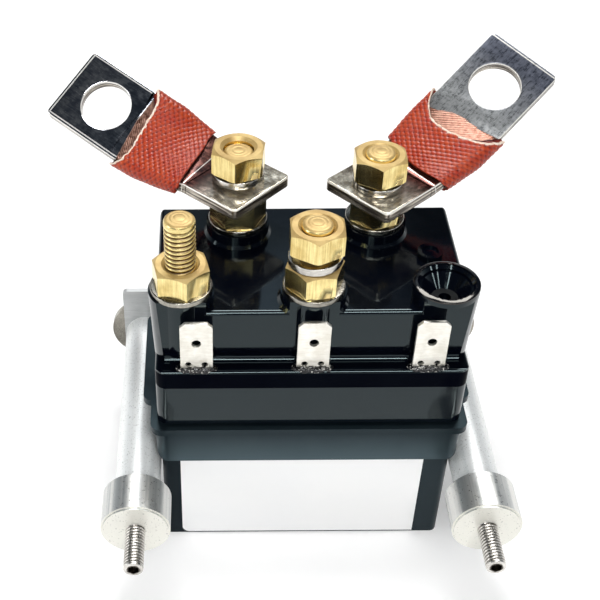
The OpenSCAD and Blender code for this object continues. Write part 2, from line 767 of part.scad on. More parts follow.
module bobbin(side) {
  color(nylon) translate([side * back_boss_x, 0, 0]) difference() {
    union() {
      bar_z([0, 0], bobbin_tube_r, bobbin_z, top_plate_z);
      bar_z([0, 0], bobbin_r, bobbin_z, bobbin_z + bobbin_flange_t);
      bar_z([0, 0], bobbin_r, top_plate_z - bobbin_flange_t, top_plate_z);
    }
    bar_z([0, 0], bobbin_bore_r, bobbin_z - cut, top_plate_z + cut);
  }
}

module winding(side) {
  color(copper) translate([side * back_boss_x, 0, 0])
    tube(bobbin_r - winding_in, bobbin_tube_r + fix_gap,
      bobbin_z + bobbin_flange_t + fix_gap, top_plate_z - bobbin_flange_t - fix_gap);
}

module core(side) {
  color(steel) translate([side * back_boss_x, 0, 0]) difference() {
    union() {
      bar_z([0, 0], plunger_r, core_z, top_plate_z);
      bar_z([0, 0], core_neck_r - fix_gap, core_z, top_plate_z + yoke_t);
    }
    bar_z([0, 0], rod_r + rod_clear, core_z - cut, top_plate_z + yoke_t + cut);
    bar_z([0, 0], pocket_r, core_z - cut, core_z + pocket_depth);
  }
}

module plunger(side) {
  top = plunger_z + plunger_l;
  color(steel) translate([side * back_boss_x, 0, 0]) difference() {
    bar_z([0, 0], plunger_r, plunger_z, top);
    bar_z([0, 0], rod_r, rod_seat_z, top + cut);
    bar_z([0, 0], pocket_r, plunger_pocket_z, top + cut);
  }
}

module push_rod(side) {
  end_l = 1.6;
  color(steel) translate([side * back_boss_x, 0, 0]) {
    bar_z([0, 0], rod_r, rod_seat_z, bridge_top + end_l);
    bar_z([0, 0], rod_collar_r, rod_collar_z, rod_collar_z + rod_collar_t);
  }
}

module return_spring(side) {
  turns = 7;
  color(steel) translate([side * back_boss_x, 0, 0])
    coil_spring(turns, plunger_pocket_z, core_z + pocket_depth);
}

module contact_spring(side) {
  turns = 3;
  color(steel) translate([side * back_boss_x, 0, 0])
    coil_spring(turns, rod_collar_z + rod_collar_t, bridge_z);
}

module contact_button(x, y, z) {
  bar_z([x, y], button_r, z, z + button_h);
}

module contact_bridge(side) {
  color(copper) translate([side * back_boss_x, 0, 0]) difference() {
    union() {
      translate([-bar_w / 2, -bridge_half, bridge_z]) cube([bar_w, 2 * bridge_half, bridge_t]);
      for (y = [-button_y, button_y], z = [bridge_z - button_h, bridge_top]) contact_button(0, y, z);
    }
    bar_z([0, 0], rod_r + fix_gap, bridge_z - cut, bridge_top + cut);
  }
}

module bridge_clip(side) {
  clip_r = 2.9;
  clip_t = 0.7;
  color(steel) translate([side * back_boss_x, 0, bridge_top + spring_gap])
    tube(clip_r, rod_r + fix_gap, 0, clip_t);
}

module plunger_pad(side) {
  color(rubber_grey) bar_z([side * back_boss_x, 0], plunger_r - 0.4, bobbin_z, bobbin_z + pad_t);
}

// Upper bar: joins the free front stud to both poles and passes round the middle stud
module positive_bar() {
  left_x = -front_boss_x - 2.8;
  right_x = back_boss_x + bar_w / 2;
  color(copper) {
    difference() {
      translate([left_x, bar_front, upper_bar_z]) cube([right_x - left_x, -bar_front - bar_near, bar_t]);
      bar_z(stud_places[1], stud_r + 1.4, upper_bar_z - cut, stud_seat_z + cut);
      bar_z(stud_places[0], spigot_r + fix_gap, upper_bar_z - cut, stud_seat_z + cut);
    }
    for (x = [-1, 1]) contact_button(x * back_boss_x, -button_y, upper_bar_z - button_h);
  }
}

// Lower bar: joins the middle front stud to both poles
module negative_bar() {
  half = back_boss_x + bar_w / 2;
  top = lower_bar_z + bar_t;
  color(copper) {
    difference() {
      translate([-half, bar_front, lower_bar_z]) cube([2 * half, -bar_front - bar_near, bar_t]);
      bar_z(stud_places[1], spigot_r + fix_gap, lower_bar_z - cut, top + cut);
    }
    for (x = [-1, 1]) contact_button(x * back_boss_x, -button_y, top);
  }
}

// Folded terminal under a back stud, with a contact above and below the moving one
module motor_terminal(side) {
  color(copper) translate([side * back_boss_x, 0, 0]) difference() {
    union() {
      for (z = [lower_bar_z, upper_bar_z])
        translate([-bar_w / 2, bar_near, z]) cube([bar_w, terminal_back - bar_near, bar_t]);
      translate([-bar_w / 2, terminal_back - bar_t, lower_bar_z])
        cube([bar_w, bar_t, stud_seat_z - lower_bar_z]);
      contact_button(0, button_y, upper_bar_z - button_h);
      contact_button(0, button_y, lower_bar_z + bar_t);
    }
    bar_z([0, back_y], spigot_r + fix_gap, upper_bar_z + blind_floor, stud_seat_z + cut);
  }
}

// Threaded part of a terminal stud from z_low up to its chamfered end
module stud_shank(z_low, top) {
  bar_z([0, 0], stud_r, z_low, top - end_chamfer);
  translate([0, 0, top - end_chamfer]) cylinder(r1 = stud_r, r2 = stud_r - end_chamfer, h = end_chamfer);
}

// Collar that sits on a contact bar, with the spigot that is riveted in it
module stud_foot(spigot_l) {
  bar_z([0, 0], stud_collar_r, stud_seat_z, stud_seat_z + stud_collar_t);
  bar_z([0, 0], spigot_r, stud_seat_z - spigot_l, stud_seat_z + lap);
}

module back_stud(side, top) {
  color(brass) translate([side * back_boss_x, back_y, 0]) {
    stud_foot(bar_t - blind_floor);
    stud_shank(stud_seat_z, top);
  }
}

// The free stud is full size only above its nut, where a cable lug goes
module stud_front_left() {
  color(brass) translate([-front_boss_x, front_y, 0]) {
    stud_foot(bar_t);
    bar_z([0, 0], stud_r - held_less, stud_seat_z, lower_nut_z + lap);
    stud_shank(lower_nut_z, washer_z + free_stud_h);
  }
}

module stud_front_middle() {
  low = lower_bar_z + bar_t;
  color(brass) translate([0, front_y, 0]) {
    stud_shank(low, middle_nut_z + nut_h + middle_proud);
    bar_z([0, 0], spigot_r, base_plate_z, low + lap);
  }
}

module stud_back_left() {
  back_stud(-1, left_nut_z + nut_h - left_sunk);
}

module stud_back_right() {
  back_stud(1, right_nut_z + nut_h + right_proud);
}

module stud_washers() {
  color(steel) for (q = stud_places)
    translate([q[0], q[1], boss_z]) tube(washer_r, stud_r + hole_gap, 0, washer_t);
}

module lower_nuts() {
  turns = [-78, -110, -118, -99];
  heights = [nut_h, nut_h, nut_h + high_nut_more, nut_h];
  color(brass) for (i = [0:3])
    translate([stud_places[i][0], stud_places[i][1], washer_z]) hex_nut(turns[i], heights[i]);
}

module upper_nuts() {
  turns = [-91, -98, -91];
  levels = [middle_nut_z, left_nut_z, right_nut_z];
  color(brass) for (i = [0:2])
    translate([stud_places[i + 1][0], stud_places[i + 1][1], levels[i]]) hex_nut(turns[i], nut_h);
}

module spring_washers() {
  open_at = [-10, 200];
  levels = [left_seat_z, lower_nut_z];
  heights = [left_washer_set, right_washer_set];
  color(steel) for (i = [0, 1])
    translate([stud_places[i + 2][0], stud_places[i + 2][1], levels[i] + strap_t])
      split_washer(heights[i] - spring_washer_t, open_at[i]);
}

module loose_spring_washer() {
  open_at = 20;
  color(steel) translate([0, front_y, lower_nut_z])
    split_washer(spring_washer_free - spring_washer_t, open_at);
}

module spade_tab(i) {
  chamfer = 1;
  hole_r = 0.9;
  hole_in = 5;
  slot_x = 1.6;
  slot_r = 0.6;
  slot_up = 0.4;
  z_low = ledge_z - tab_root;
  z_high = ledge_z + tab_h;
  color(tin) translate([i * tab_pitch, tab_y + tab_t, 0]) rotate([90, 0, 0]) linear_extrude(tab_t)
    difference() {
      polygon([
        [-tab_w / 2, z_low], [tab_w / 2, z_low], [tab_w / 2, z_high - chamfer],
        [tab_w / 2 - chamfer, z_high], [-tab_w / 2 + chamfer, z_high], [-tab_w / 2, z_high - chamfer]
      ]);
      translate([0, z_high - hole_in]) circle(hole_r);
      for (x = [-1, 1]) translate([x * slot_x, ledge_z + bead_h + slot_up]) circle(slot_r);
    }
}

// Low bead of sealant round the foot of each tab
module tab_sealant() {
  rim = 0.8;
  bead_w = tab_w + 3 * rim;
  bead_d = tab_t + 2 * rim;
  color(cover_black) for (i = [-1:1]) translate([i * tab_pitch, tab_y + tab_t / 2, ledge_z]) difference() {
    rotate([90, 0, 90]) linear_extrude(bead_w, center = true) intersection() {
      translate([0, -bead_d]) circle(bead_d + bead_h);
      translate([-bead_d / 2, 0]) square([bead_d, bead_h]);
    }
    cube([tab_w + lap, tab_t + lap, 2 * bead_h + cut], center = true);
  }
}

// Rounded at its left corners and cut square at the right
module label() {
  corner_r = 1.6;
  h = skirt_z - label_gap - label_low;
  color("white") translate([-label_left, -box_d / 2, label_low + h / 2]) rotate([90, 0, 0])
    linear_extrude(label_t) {
      rounded_rect(label_w, h, corner_r);
      translate([0, -h / 2]) square([label_w / 2, h]);
    }
}

module cover_plug() {
  rim_w = 0.8;
  dish_depth = 0.5;
  color(cover_black) difference() {
    union() {
      bar_z(plug_place, plug_r, deck_z, deck_z + plug_h);
      bar_z(plug_place, plug_peg_r - fix_gap, deck_z - deck_t, deck_z + lap);
    }
    bar_z(plug_place, plug_r - rim_w, deck_z + plug_h - dish_depth, deck_z + plug_h + cut);
  }
}

module pillar(side) {
  x = side * pillar_x;
  edge = 0.4;
  collar_back = pillar_front + collar_l;
  color(aluminium) difference() {
    union() {
      bar_y(x, pillar_front + edge, plate_y, pillar_r, pillar_r);
      bar_y(x, pillar_front + edge, collar_back - edge, collar_r, collar_r);
      bar_y(x, pillar_front, collar_back, collar_r - edge, collar_r - edge);
    }
    bar_y(x, pillar_front - cut, pillar_front + front_bore, front_bore_r, front_bore_r);
    bar_y(x, plate_y - rear_bore, plate_y + cut, rear_screw_r + fix_gap, rear_screw_r + fix_gap);
  }
}

// Grub screw that stands out of a pillar's collar
module pillar_stud(side) {
  x = side * pillar_x;
  tip = pillar_front - front_stud_l;
  edge = 0.4;
  tip_r = front_stud_r - 0.35;
  held_r = front_bore_r - fix_gap;
  socket_r = 1.15;
  socket_depth = 2;
  color(steel) difference() {
    union() {
      bar_y(x, tip + edge, pillar_front, front_stud_r, front_stud_r);
      bar_y(x, pillar_front - lap, pillar_front + front_bore - hole_gap, held_r, held_r);
      bar_y(x, tip, pillar_front, tip_r, tip_r);
    }
    bar_y(x, tip - cut, tip + socket_depth, socket_r, socket_r, $fn = 6);
  }
}

module mounting_plate() {
  plate_w = 2 * (pillar_x + plate_end);
  color(aluminium) translate([0, plate_back, pillar_z]) rotate([90, 0, 0]) linear_extrude(plate_t)
    difference() {
      rounded_rect(plate_w, plate_h, 1);
      for (x = [-1, 1]) {
        translate([x * pillar_x, 0]) circle(rear_screw_r + hole_gap);
        translate([x * plate_screw_x, 0]) circle(plate_screw_r + hole_gap);
      }
    }
}

module pillar_washers() {
  hole_r = rear_screw_r + hole_gap;
  color(steel) for (x = [-pillar_x, pillar_x]) difference() {
    bar_y(x, plate_back, plate_back + rear_washer_t, rear_washer_r, rear_washer_r);
    bar_y(x, plate_back - cut, plate_back + rear_washer_t + cut, hole_r, hole_r);
  }
}

// Button head screws with a hexagon socket, from behind
module pillar_screws() {
  y = plate_back + rear_washer_t;
  head_r = 4.7;
  head_top_r = 3.4;
  head_h = 2.7;
  socket_depth = 1.7;
  socket_r = 1.7;
  color(steel) for (x = [-pillar_x, pillar_x]) difference() {
    union() {
      bar_y(x, plate_y - rear_bore + 2, y + lap, rear_screw_r, rear_screw_r);
      bar_y(x, y, y + head_h, head_r, head_top_r);
    }
    bar_y(x, y + head_h - socket_depth, y + head_h + cut, socket_r, socket_r, $fn = 6);
  }
}

module plate_screws() {
  head_r = 2.9;
  head_top_r = 2.3;
  head_h = 2;
  socket_depth = 1.1;
  socket_r = 1.1;
  color(steel) for (x = [-plate_screw_x, plate_screw_x]) difference() {
    union() {
      bar_y(x, box_d / 2 - wall_t + 2 * hole_gap, plate_back + lap, plate_screw_r, plate_screw_r);
      bar_y(x, plate_back, plate_back + head_h, head_r, head_top_r);
    }
    bar_y(x, plate_back + head_h - socket_depth, plate_back + head_h + cut, socket_r, socket_r, $fn = 6);
  }
}

// Sunk into the case's underside, up into the cover's posts
module case_screws() {
  head_z = 0.6;
  head_h = 1.3;
  color(steel) at_posts() {
    bar_z([0, 0], case_screw_head_r, head_z, head_z + head_h);
    bar_z([0, 0], case_screw_r, head_z + head_h - lap, cover_z + 7);
  }
}

coil_case();
case_gasket();
top_cover();
contact_base();
yoke_frame();
yoke_top_plate();
bobbin(-1);  // bobbin_left
bobbin(1);  // bobbin_right
winding(-1);  // winding_left
winding(1);  // winding_right
core(-1);  // core_left
core(1);  // core_right
plunger(-1);  // plunger_left
plunger(1);  // plunger_right
push_rod(-1);  // push_rod_left
push_rod(1);  // push_rod_right
return_spring(-1);  // return_spring_left
return_spring(1);  // return_spring_right
contact_spring(-1);  // contact_spring_left
contact_spring(1);  // contact_spring_right
contact_bridge(-1);  // contact_bridge_left
contact_bridge(1);  // contact_bridge_right
bridge_clip(-1);  // bridge_clip_left
bridge_clip(1);  // bridge_clip_right
plunger_pad(-1);  // plunger_pad_left
plunger_pad(1);  // plunger_pad_right
positive_bar();
negative_bar();
motor_terminal(-1);  // motor_terminal_left
motor_terminal(1);  // motor_terminal_right
stud_front_left();
stud_front_middle();
stud_back_left();
stud_back_right();
stud_washers();
lower_nuts();
upper_nuts();
spring_washers();
loose_spring_washer();
strap(left_strap);  // strap_left
strap(right_strap);  // strap_right
sleeve(left_strap);  // sleeve_left
sleeve(right_strap);  // sleeve_right
spade_tab(-1);  // tab_left
spade_tab(0);  // tab_middle
spade_tab(1);  // tab_right
tab_sealant();
label();
cover_plug();
pillar(-1);  // pillar_left
pillar(1);  // pillar_right
pillar_stud(-1);  // pillar_stud_left
pillar_stud(1);  // pillar_stud_right
mounting_plate();
pillar_washers();
pillar_screws();
plate_screws();
case_screws();
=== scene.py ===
import json
from math import atan2, cos, degrees, floor, hypot, pi, radians, sin, sqrt, tan
from types import SimpleNamespace as Sizes

import bpy
import numpy as np
from mathutils import Matrix, Vector, noise


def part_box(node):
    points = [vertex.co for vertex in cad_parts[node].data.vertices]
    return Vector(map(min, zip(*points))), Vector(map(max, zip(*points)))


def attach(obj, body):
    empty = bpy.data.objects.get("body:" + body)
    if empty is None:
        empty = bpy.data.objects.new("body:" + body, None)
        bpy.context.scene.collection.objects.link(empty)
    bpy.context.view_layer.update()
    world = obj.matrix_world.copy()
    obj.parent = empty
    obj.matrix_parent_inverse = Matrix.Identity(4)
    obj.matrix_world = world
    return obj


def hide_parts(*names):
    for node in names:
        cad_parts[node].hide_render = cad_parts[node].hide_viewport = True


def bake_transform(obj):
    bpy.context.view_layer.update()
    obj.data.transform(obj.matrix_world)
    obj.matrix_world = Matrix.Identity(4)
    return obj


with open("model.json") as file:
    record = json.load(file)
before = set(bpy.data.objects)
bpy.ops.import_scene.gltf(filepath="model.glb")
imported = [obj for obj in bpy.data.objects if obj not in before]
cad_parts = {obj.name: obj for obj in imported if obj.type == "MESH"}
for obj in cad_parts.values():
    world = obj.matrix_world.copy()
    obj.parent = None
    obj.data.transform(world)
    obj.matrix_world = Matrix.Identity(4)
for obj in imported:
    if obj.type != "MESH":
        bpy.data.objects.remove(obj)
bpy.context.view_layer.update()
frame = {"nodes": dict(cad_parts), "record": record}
nodes = frame["nodes"]
mm = 0.001
mergeGap = 1e-6
print("frame loaded:", len(nodes), "nodes")


# shared helpers
def deselectAll():
    if bpy.context.object and bpy.context.object.mode != "OBJECT":
        bpy.ops.object.mode_set(mode="OBJECT")
    bpy.ops.object.select_all(action="DESELECT")


def pick(obj):
    deselectAll()
    obj.select_set(True)
    bpy.context.view_layer.objects.active = obj


def editAll(obj):
    pick(obj)
    bpy.ops.object.mode_set(mode="EDIT")
    bpy.ops.mesh.select_all(action="SELECT")


def endEdit():
    bpy.ops.object.mode_set(mode="OBJECT")


def smooth(obj, angle=None):
    pick(obj)
    if angle is None:
        bpy.ops.object.shade_smooth()
    else:
        bpy.ops.object.shade_smooth_by_angle(angle=radians(angle))


def applyPlace():
    bpy.ops.object.transform_apply(location=True, rotation=True, scale=True)


def addModifier(obj, kind, **settings):
    pick(obj)
    modifier = obj.modifiers.new(kind.title(), kind)
    for key, value in settings.items():
        setattr(modifier, key, value)
    bpy.ops.object.modifier_apply(modifier=modifier.name)


def softenEdges(obj, width, segments=2, angle=35):
    addModifier(obj, "BEVEL", width=width * mm, segments=segments, limit_method="ANGLE",
                angle_limit=radians(angle), harden_normals=False)
    smooth(obj, angle)


def cutWith(obj, cutter, operation="DIFFERENCE"):
    addModifier(obj, "BOOLEAN", object=cutter, operation=operation, solver="EXACT")
    bpy.data.objects.remove(cutter)


def addCylinder(radius, depth, place, vertices=64, turn=(0, 0, 0)):
    deselectAll()
    bpy.ops.mesh.primitive_cylinder_add(vertices=vertices, radius=radius * mm, depth=depth * mm,
                                        location=[c * mm for c in place], rotation=turn)
    applyPlace()
    return bpy.context.object


def addBlock(size, place):
    deselectAll()
    bpy.ops.mesh.primitive_cube_add(size=1, location=[c * mm for c in place], scale=[c * mm for c in size])
    applyPlace()
    return bpy.context.object


def selectIn(obj, kind, test):
    # picks the faces or edges that pass the test, in mm, and stays in edit mode
    pick(obj)
    bpy.ops.object.mode_set(mode="EDIT")
    bpy.ops.mesh.select_mode(type=kind)
    bpy.ops.mesh.select_all(action="DESELECT")
    endEdit()
    mesh = obj.data
    if kind == "FACE":
        for face in mesh.polygons:
            face.select = test(face.center / mm, face.normal)
    else:
        for edge in mesh.edges:
            edge.select = test(*(mesh.vertices[i].co / mm for i in edge.vertices))
    bpy.ops.object.mode_set(mode="EDIT")


def addObject(name, data):
    obj = bpy.data.objects.new(name, data)
    bpy.context.scene.collection.objects.link(obj)
    return obj


def newMesh(name, points, faces):
    mesh = bpy.data.meshes.new(name)
    mesh.from_pydata([tuple(p) for p in points], [], faces)
    mesh.update()
    return addObject(name, mesh)


def keepValues(obj, name, values):
    # one number or one vector for each vertex
    values = np.array(values, np.float32)
    kind, key = ("FLOAT", "value") if values.ndim == 1 else ("FLOAT_VECTOR", "vector")
    obj.data.attributes.new(name, kind, "POINT").data.foreach_set(key, values.ravel())


def finishMesh(obj, angle=None):
    # turns the normals outward and shades the mesh smooth
    editAll(obj)
    bpy.ops.mesh.normals_make_consistent(inside=False)
    endEdit()
    smooth(obj, angle)


def placeCopy(obj, name, matrix):
    twin = obj.copy()
    twin.data = obj.data.copy()
    twin.name = twin.data.name = name
    bpy.context.scene.collection.objects.link(twin)
    twin.data.transform(matrix)
    return twin


def placeMatrix(place, *axes):
    return Matrix.Translation(Vector(place) * mm) @ Matrix(axes).transposed().to_4x4()


def joinPieces(pieces, name):
    deselectAll()
    for piece in pieces:
        piece.select_set(True)
    bpy.context.view_layer.objects.active = pieces[0]
    if len(pieces) > 1:
        bpy.ops.object.join()
    pieces[0].name = pieces[0].data.name = name
    return pieces[0]


def seat(obj, name, finish, slotName, *replaced, body="housing"):
    obj.name = obj.data.name = name
    obj.data.materials.clear()
    obj.data.materials.append(finishes[finish])
    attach(obj, body)
    if replaced:
        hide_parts(*replaced)
    return obj


# camera
cameraView = {
    "place": (-19.72, -182.23, 204.77),
    "forward": (-0.0047, 0.754, -0.6569),
    "up": (0.0072, 0.6569, 0.754),
    "lens": 69.18,
    "sensor": 36,
    "shift": (0.158, 0.029),
    "clip": (0.01, 50),
}


def makeCamera(view):
    cameraData = bpy.data.cameras.new("viewCamera")
    cameraData.lens = view["lens"]
    cameraData.sensor_width = view["sensor"]
    cameraData.shift_x, cameraData.shift_y = view["shift"]
    cameraData.clip_start, cameraData.clip_end = view["clip"]
    cameraObject = addObject("viewCamera", cameraData)
    back = -Vector(view["forward"]).normalized()
    right = Vector(view["up"]).cross(back).normalized()
    cameraObject.matrix_world = placeMatrix(view["place"], right, back.cross(right), back)
    bpy.context.scene.camera = cameraObject


makeCamera(cameraView)
print("camera set")


# materials: every node goes to the current tree
current = {}


def shaderOf(material):
    return material.node_tree.nodes["Principled BSDF"]


def startMaterial(name, color, metallic, roughness):
    material = bpy.data.materials.new(name)
    material.use_nodes = True
    shader = shaderOf(material)
    for key, value in (("Base Color", (*color, 1)), ("Metallic", metallic), ("Roughness", roughness)):
        give(shader, key, value)
    current["tree"] = material.node_tree
    return material, shader


def give(node, key, value):
    # value is another node's output or a plain value
    socket = node.inputs[key]
    if isinstance(value, bpy.types.NodeSocket):
        socket.id_data.links.new(value, socket)
    else:
        socket.default_value = value


def paint(shader, color):
    give(shader, "Base Color", color)


def addNode(kind, links=None, **settings):
    node = current["tree"].nodes.new("ShaderNode" + kind)
    for key, value in settings.items():
        setattr(node, key, value)
    for key, value in (links or {}).items():
        give(node, key, value)
    return node


def objectPlace(stretch=(1, 1, 1)):
    place = addNode("TexCoord").outputs["Object"]
    if stretch != (1, 1, 1):
        place = addNode("Mapping", {"Vector": place, "Scale": stretch}).outputs["Vector"]
    return place


def ownPlace(name, stretch=(1, 1, 1)):
    place = addNode("Attribute", attribute_name=name).outputs["Vector"]
    return addNode("Mapping", {"Vector": place, "Scale": stretch}).outputs["Vector"]


def axisOf(vector, axis):
    return addNode("SeparateXYZ", {0: vector}).outputs[axis]


def facingOf(axis):
    return axisOf(addNode("NewGeometry").outputs["Normal"], axis)


def grain(place, scale, detail=3, roughness=0.5):
    links = {"Vector": place, "Scale": scale, "Detail": detail, "Roughness": roughness}
    return addNode("TexNoise", links).outputs["Fac"]


def spread(value, low, high, lowest=0.0, highest=1.0):
    links = {"Value": value, "From Min": low, "From Max": high, "To Min": lowest, "To Max": highest}
    return addNode("MapRange", links).outputs["Result"]


def mixColors(factor, first, second):
    node = addNode("Mix", data_type="RGBA")
    for index, value in ((0, factor), (6, first), (7, second)):
        give(node, index, (*value, 1) if isinstance(value, tuple) else value)
    return node.outputs[2]


def calc(operation, first, second):
    return addNode("Math", {0: first, 1: second}, operation=operation).outputs[0]


def addBump(shader, height, strength, distance, under=None):
    links = {"Height": height, "Strength": strength, "Distance": distance * mm}
    if under is not None:
        links["Normal"] = under
    normal = addNode("Bump", links).outputs["Normal"]
    give(shader, "Normal", normal)
    return normal


def mouldedPlastic(name, dark, light, roughness, specks, wave, texture):
    material, shader = startMaterial(name, light, 0, roughness[0])
    place = objectPlace()
    cloud = grain(place, 90, 4)
    paint(shader, mixColors(spread(cloud, 0.35, 0.7), dark, light))
    smear = grain(place, 260, 5, 0.65)
    give(shader, "Roughness", spread(smear, 0.35, 0.7, *roughness))
    normal = addBump(shader, grain(place, 45, 1), wave, 0.6)
    addBump(shader, grain(place, specks, 3, 0.6), texture, 0.05, normal)
    return material


def workedMetal(name, dark, light, roughness, streak, depth, blotch=120, specks=0.0, metallic=1):
    material, shader = startMaterial(name, light, metallic, roughness[0])
    lines = grain(objectPlace(streak), 1, 4, 0.6)
    cloud = grain(objectPlace(), blotch, 4, 0.6)
    shade = calc("ADD", calc("MULTIPLY", lines, 0.45), calc("MULTIPLY", cloud, 0.75))
    paint(shader, mixColors(spread(shade, 0.45, 0.75), dark, light))
    give(shader, "Roughness", spread(shade, 0.4, 0.8, *roughness))
    normal = addBump(shader, lines, depth, 0.02)
    if specks:
        addBump(shader, grain(objectPlace(), 3500, 2), specks, 0.03, normal)
    return material


def tintMirror(material, tint):
    shader = shaderOf(material)
    give(shader, "Specular Tint", (*tint, 1))
    return shader


def coverMaterial(name, tint):
    # glossy black; the lower block's top edge, between the heights of darkBand, mirrors next to nothing
    darkBand = (0.0455, 0.0493)
    dark, light = (0.0008, 0.0012, 0.004), (0.002, 0.003, 0.006)
    material = mouldedPlastic(name, dark, light, (0.06, 0.13), 2600, 0.02, 0.02)
    height = axisOf(objectPlace(), "Z")
    band = calc("MULTIPLY", calc("GREATER_THAN", height, darkBand[0]), calc("LESS_THAN", height, darkBand[1]))
    give(tintMirror(material, tint), "Specular IOR Level", spread(band, 0, 1, 0.5, 0.01))
    return material


def caseMaterial():
    # matt black that mirrors more down its skirt, and below the skirt more towards the right
    skirtTop, skirtFoot, boxTop = 0.0335, 0.0265, 0.0258
    boxLeft, boxRight = -0.03, 0.012
    dark, light = (0.003, 0.006, 0.009), (0.007, 0.011, 0.014)
    material = mouldedPlastic("caseMatt", dark, light, (0.30, 0.42), 3200, 0.02, 0.22)
    place = objectPlace()
    height = axisOf(place, "Z")
    skirt = spread(height, skirtTop, skirtFoot, 0.28, 1.0)
    box = spread(axisOf(place, "X"), boxLeft, boxRight, 0.10, 0.31)
    below = calc("LESS_THAN", height, boxTop)
    level = calc("ADD", calc("MULTIPLY", below, box), calc("MULTIPLY", calc("SUBTRACT", 1.0, below), skirt))
    give(tintMirror(material, (0.56, 0.86, 0.98)), "Specular IOR Level", level)
    return material


def paintValleyShade(material, valleyShade):
    # paints shade into a thread's valleys; the thread attribute is 1 on a thread's crest and 0 in its valley
    current["tree"] = material.node_tree
    shader = shaderOf(material)
    depth = addNode("Attribute", attribute_name="thread").outputs["Fac"]
    plain = shader.inputs["Base Color"].links[0].from_socket
    paint(shader, mixColors(spread(depth, 0.3, 0.9), valleyShade, plain))


def brassMaterial(name, streak, threads):
    # bright drawn brass with matt turned tops, whose darker tone is partly painted shade; a thread's valleys
    # get a painted shade
    material, shader = startMaterial(name, (0.9, 0.7, 0.33), 1, 0.2)
    lines = grain(objectPlace(streak), 1, 4, 0.6)
    cloud = grain(objectPlace(), 210, 4, 0.6)
    side = mixColors(spread(calc("ADD", lines, cloud), 0.8, 1.25),
                     (0.60, 0.44, 0.16), (0.93, 0.79, 0.38))
    # up-facing faces get the matt turned finish and a darker, less metallic tone, partly painted shade
    top = spread(facingOf("Z"), 0.5, 0.68)
    flat = mixColors(spread(cloud, 0.35, 0.7), (0.44, 0.29, 0.10), (0.66, 0.49, 0.20))
    paint(shader, mixColors(top, side, flat))
    if threads:
        paintValleyShade(material, (0.06, 0.025, 0.008))
    give(shader, "Metallic", spread(top, 0, 1, 1, 0.35))
    wear = calc("ADD", top, calc("MULTIPLY", cloud, 0.3))
    give(shader, "Roughness", spread(wear, 0, 1.3, 0.22 if threads else 0.15, 0.5))
    addBump(shader, lines, 0.05, 0.02)
    return material


# dark and light tone, roughness, speck size, wave and texture
plastics = {
    "rubberSeal": ((0.010, 0.010, 0.011), (0.02, 0.02, 0.021), (0.6, 0.8), 2500, 0.05, 0.3),
    "brownBoard": ((0.10, 0.05, 0.025), (0.17, 0.09, 0.045), (0.4, 0.6), 2000, 0.05, 0.3),
    "paleNylon": ((0.62, 0.58, 0.48), (0.74, 0.71, 0.62), (0.35, 0.5), 1500, 0.05, 0.1),
    "mattBlack": ((0.002, 0.003, 0.004), (0.005, 0.006, 0.008), (0.6, 0.8), 2600, 0.02, 0.1),
}
# dark and light tone, roughness, streaks per metre, depth, and where they differ blotch, specks and metallic
metals = {
    "zincSteel": ((0.15, 0.14, 0.12), (0.40, 0.38, 0.33), (0.16, 0.3), (3000, 3000, 3000), 0.06),
    "springSteel": ((0.36, 0.34, 0.31), (0.70, 0.68, 0.63), (0.16, 0.28), (900, 900, 6000), 0.02),
    "stainless": ((0.32, 0.30, 0.28), (0.66, 0.64, 0.61), (0.25, 0.36), (2000, 400, 2000), 0.03),
    "threadedSteel": ((0.42, 0.40, 0.37), (0.80, 0.78, 0.74), (0.22, 0.34), (2000, 400, 2000), 0.03),
    "copper": ((0.55, 0.22, 0.12), (0.80, 0.40, 0.27), (0.25, 0.4), (2500, 2500, 2500), 0.25),
    "rolledAluminium": ((0.42, 0.43, 0.43), (0.62, 0.63, 0.63), (0.35, 0.5), (200, 2500, 2500), 0.15,
                        80, 0.08, 0.55),
    "tinPlate": ((0.74, 0.71, 0.63), (0.93, 0.91, 0.85), (0.35, 0.55), (500, 3000, 2500), 0.15, 300, 0.1),
}


def windingMaterial():
    material, shader = startMaterial("windingWire", (0.45, 0.16, 0.07), 0.6, 0.3)
    place = objectPlace()
    rings = addNode("TexWave", {"Vector": place, "Scale": 320, "Distortion": 0.4, "Detail": 1},
                    wave_type="BANDS", bands_direction="Z")
    color = mixColors(rings.outputs["Fac"], (0.22, 0.07, 0.03), (0.55, 0.22, 0.10))
    paint(shader, color)
    addBump(shader, rings.outputs["Fac"], 0.6, 0.2)
    return material


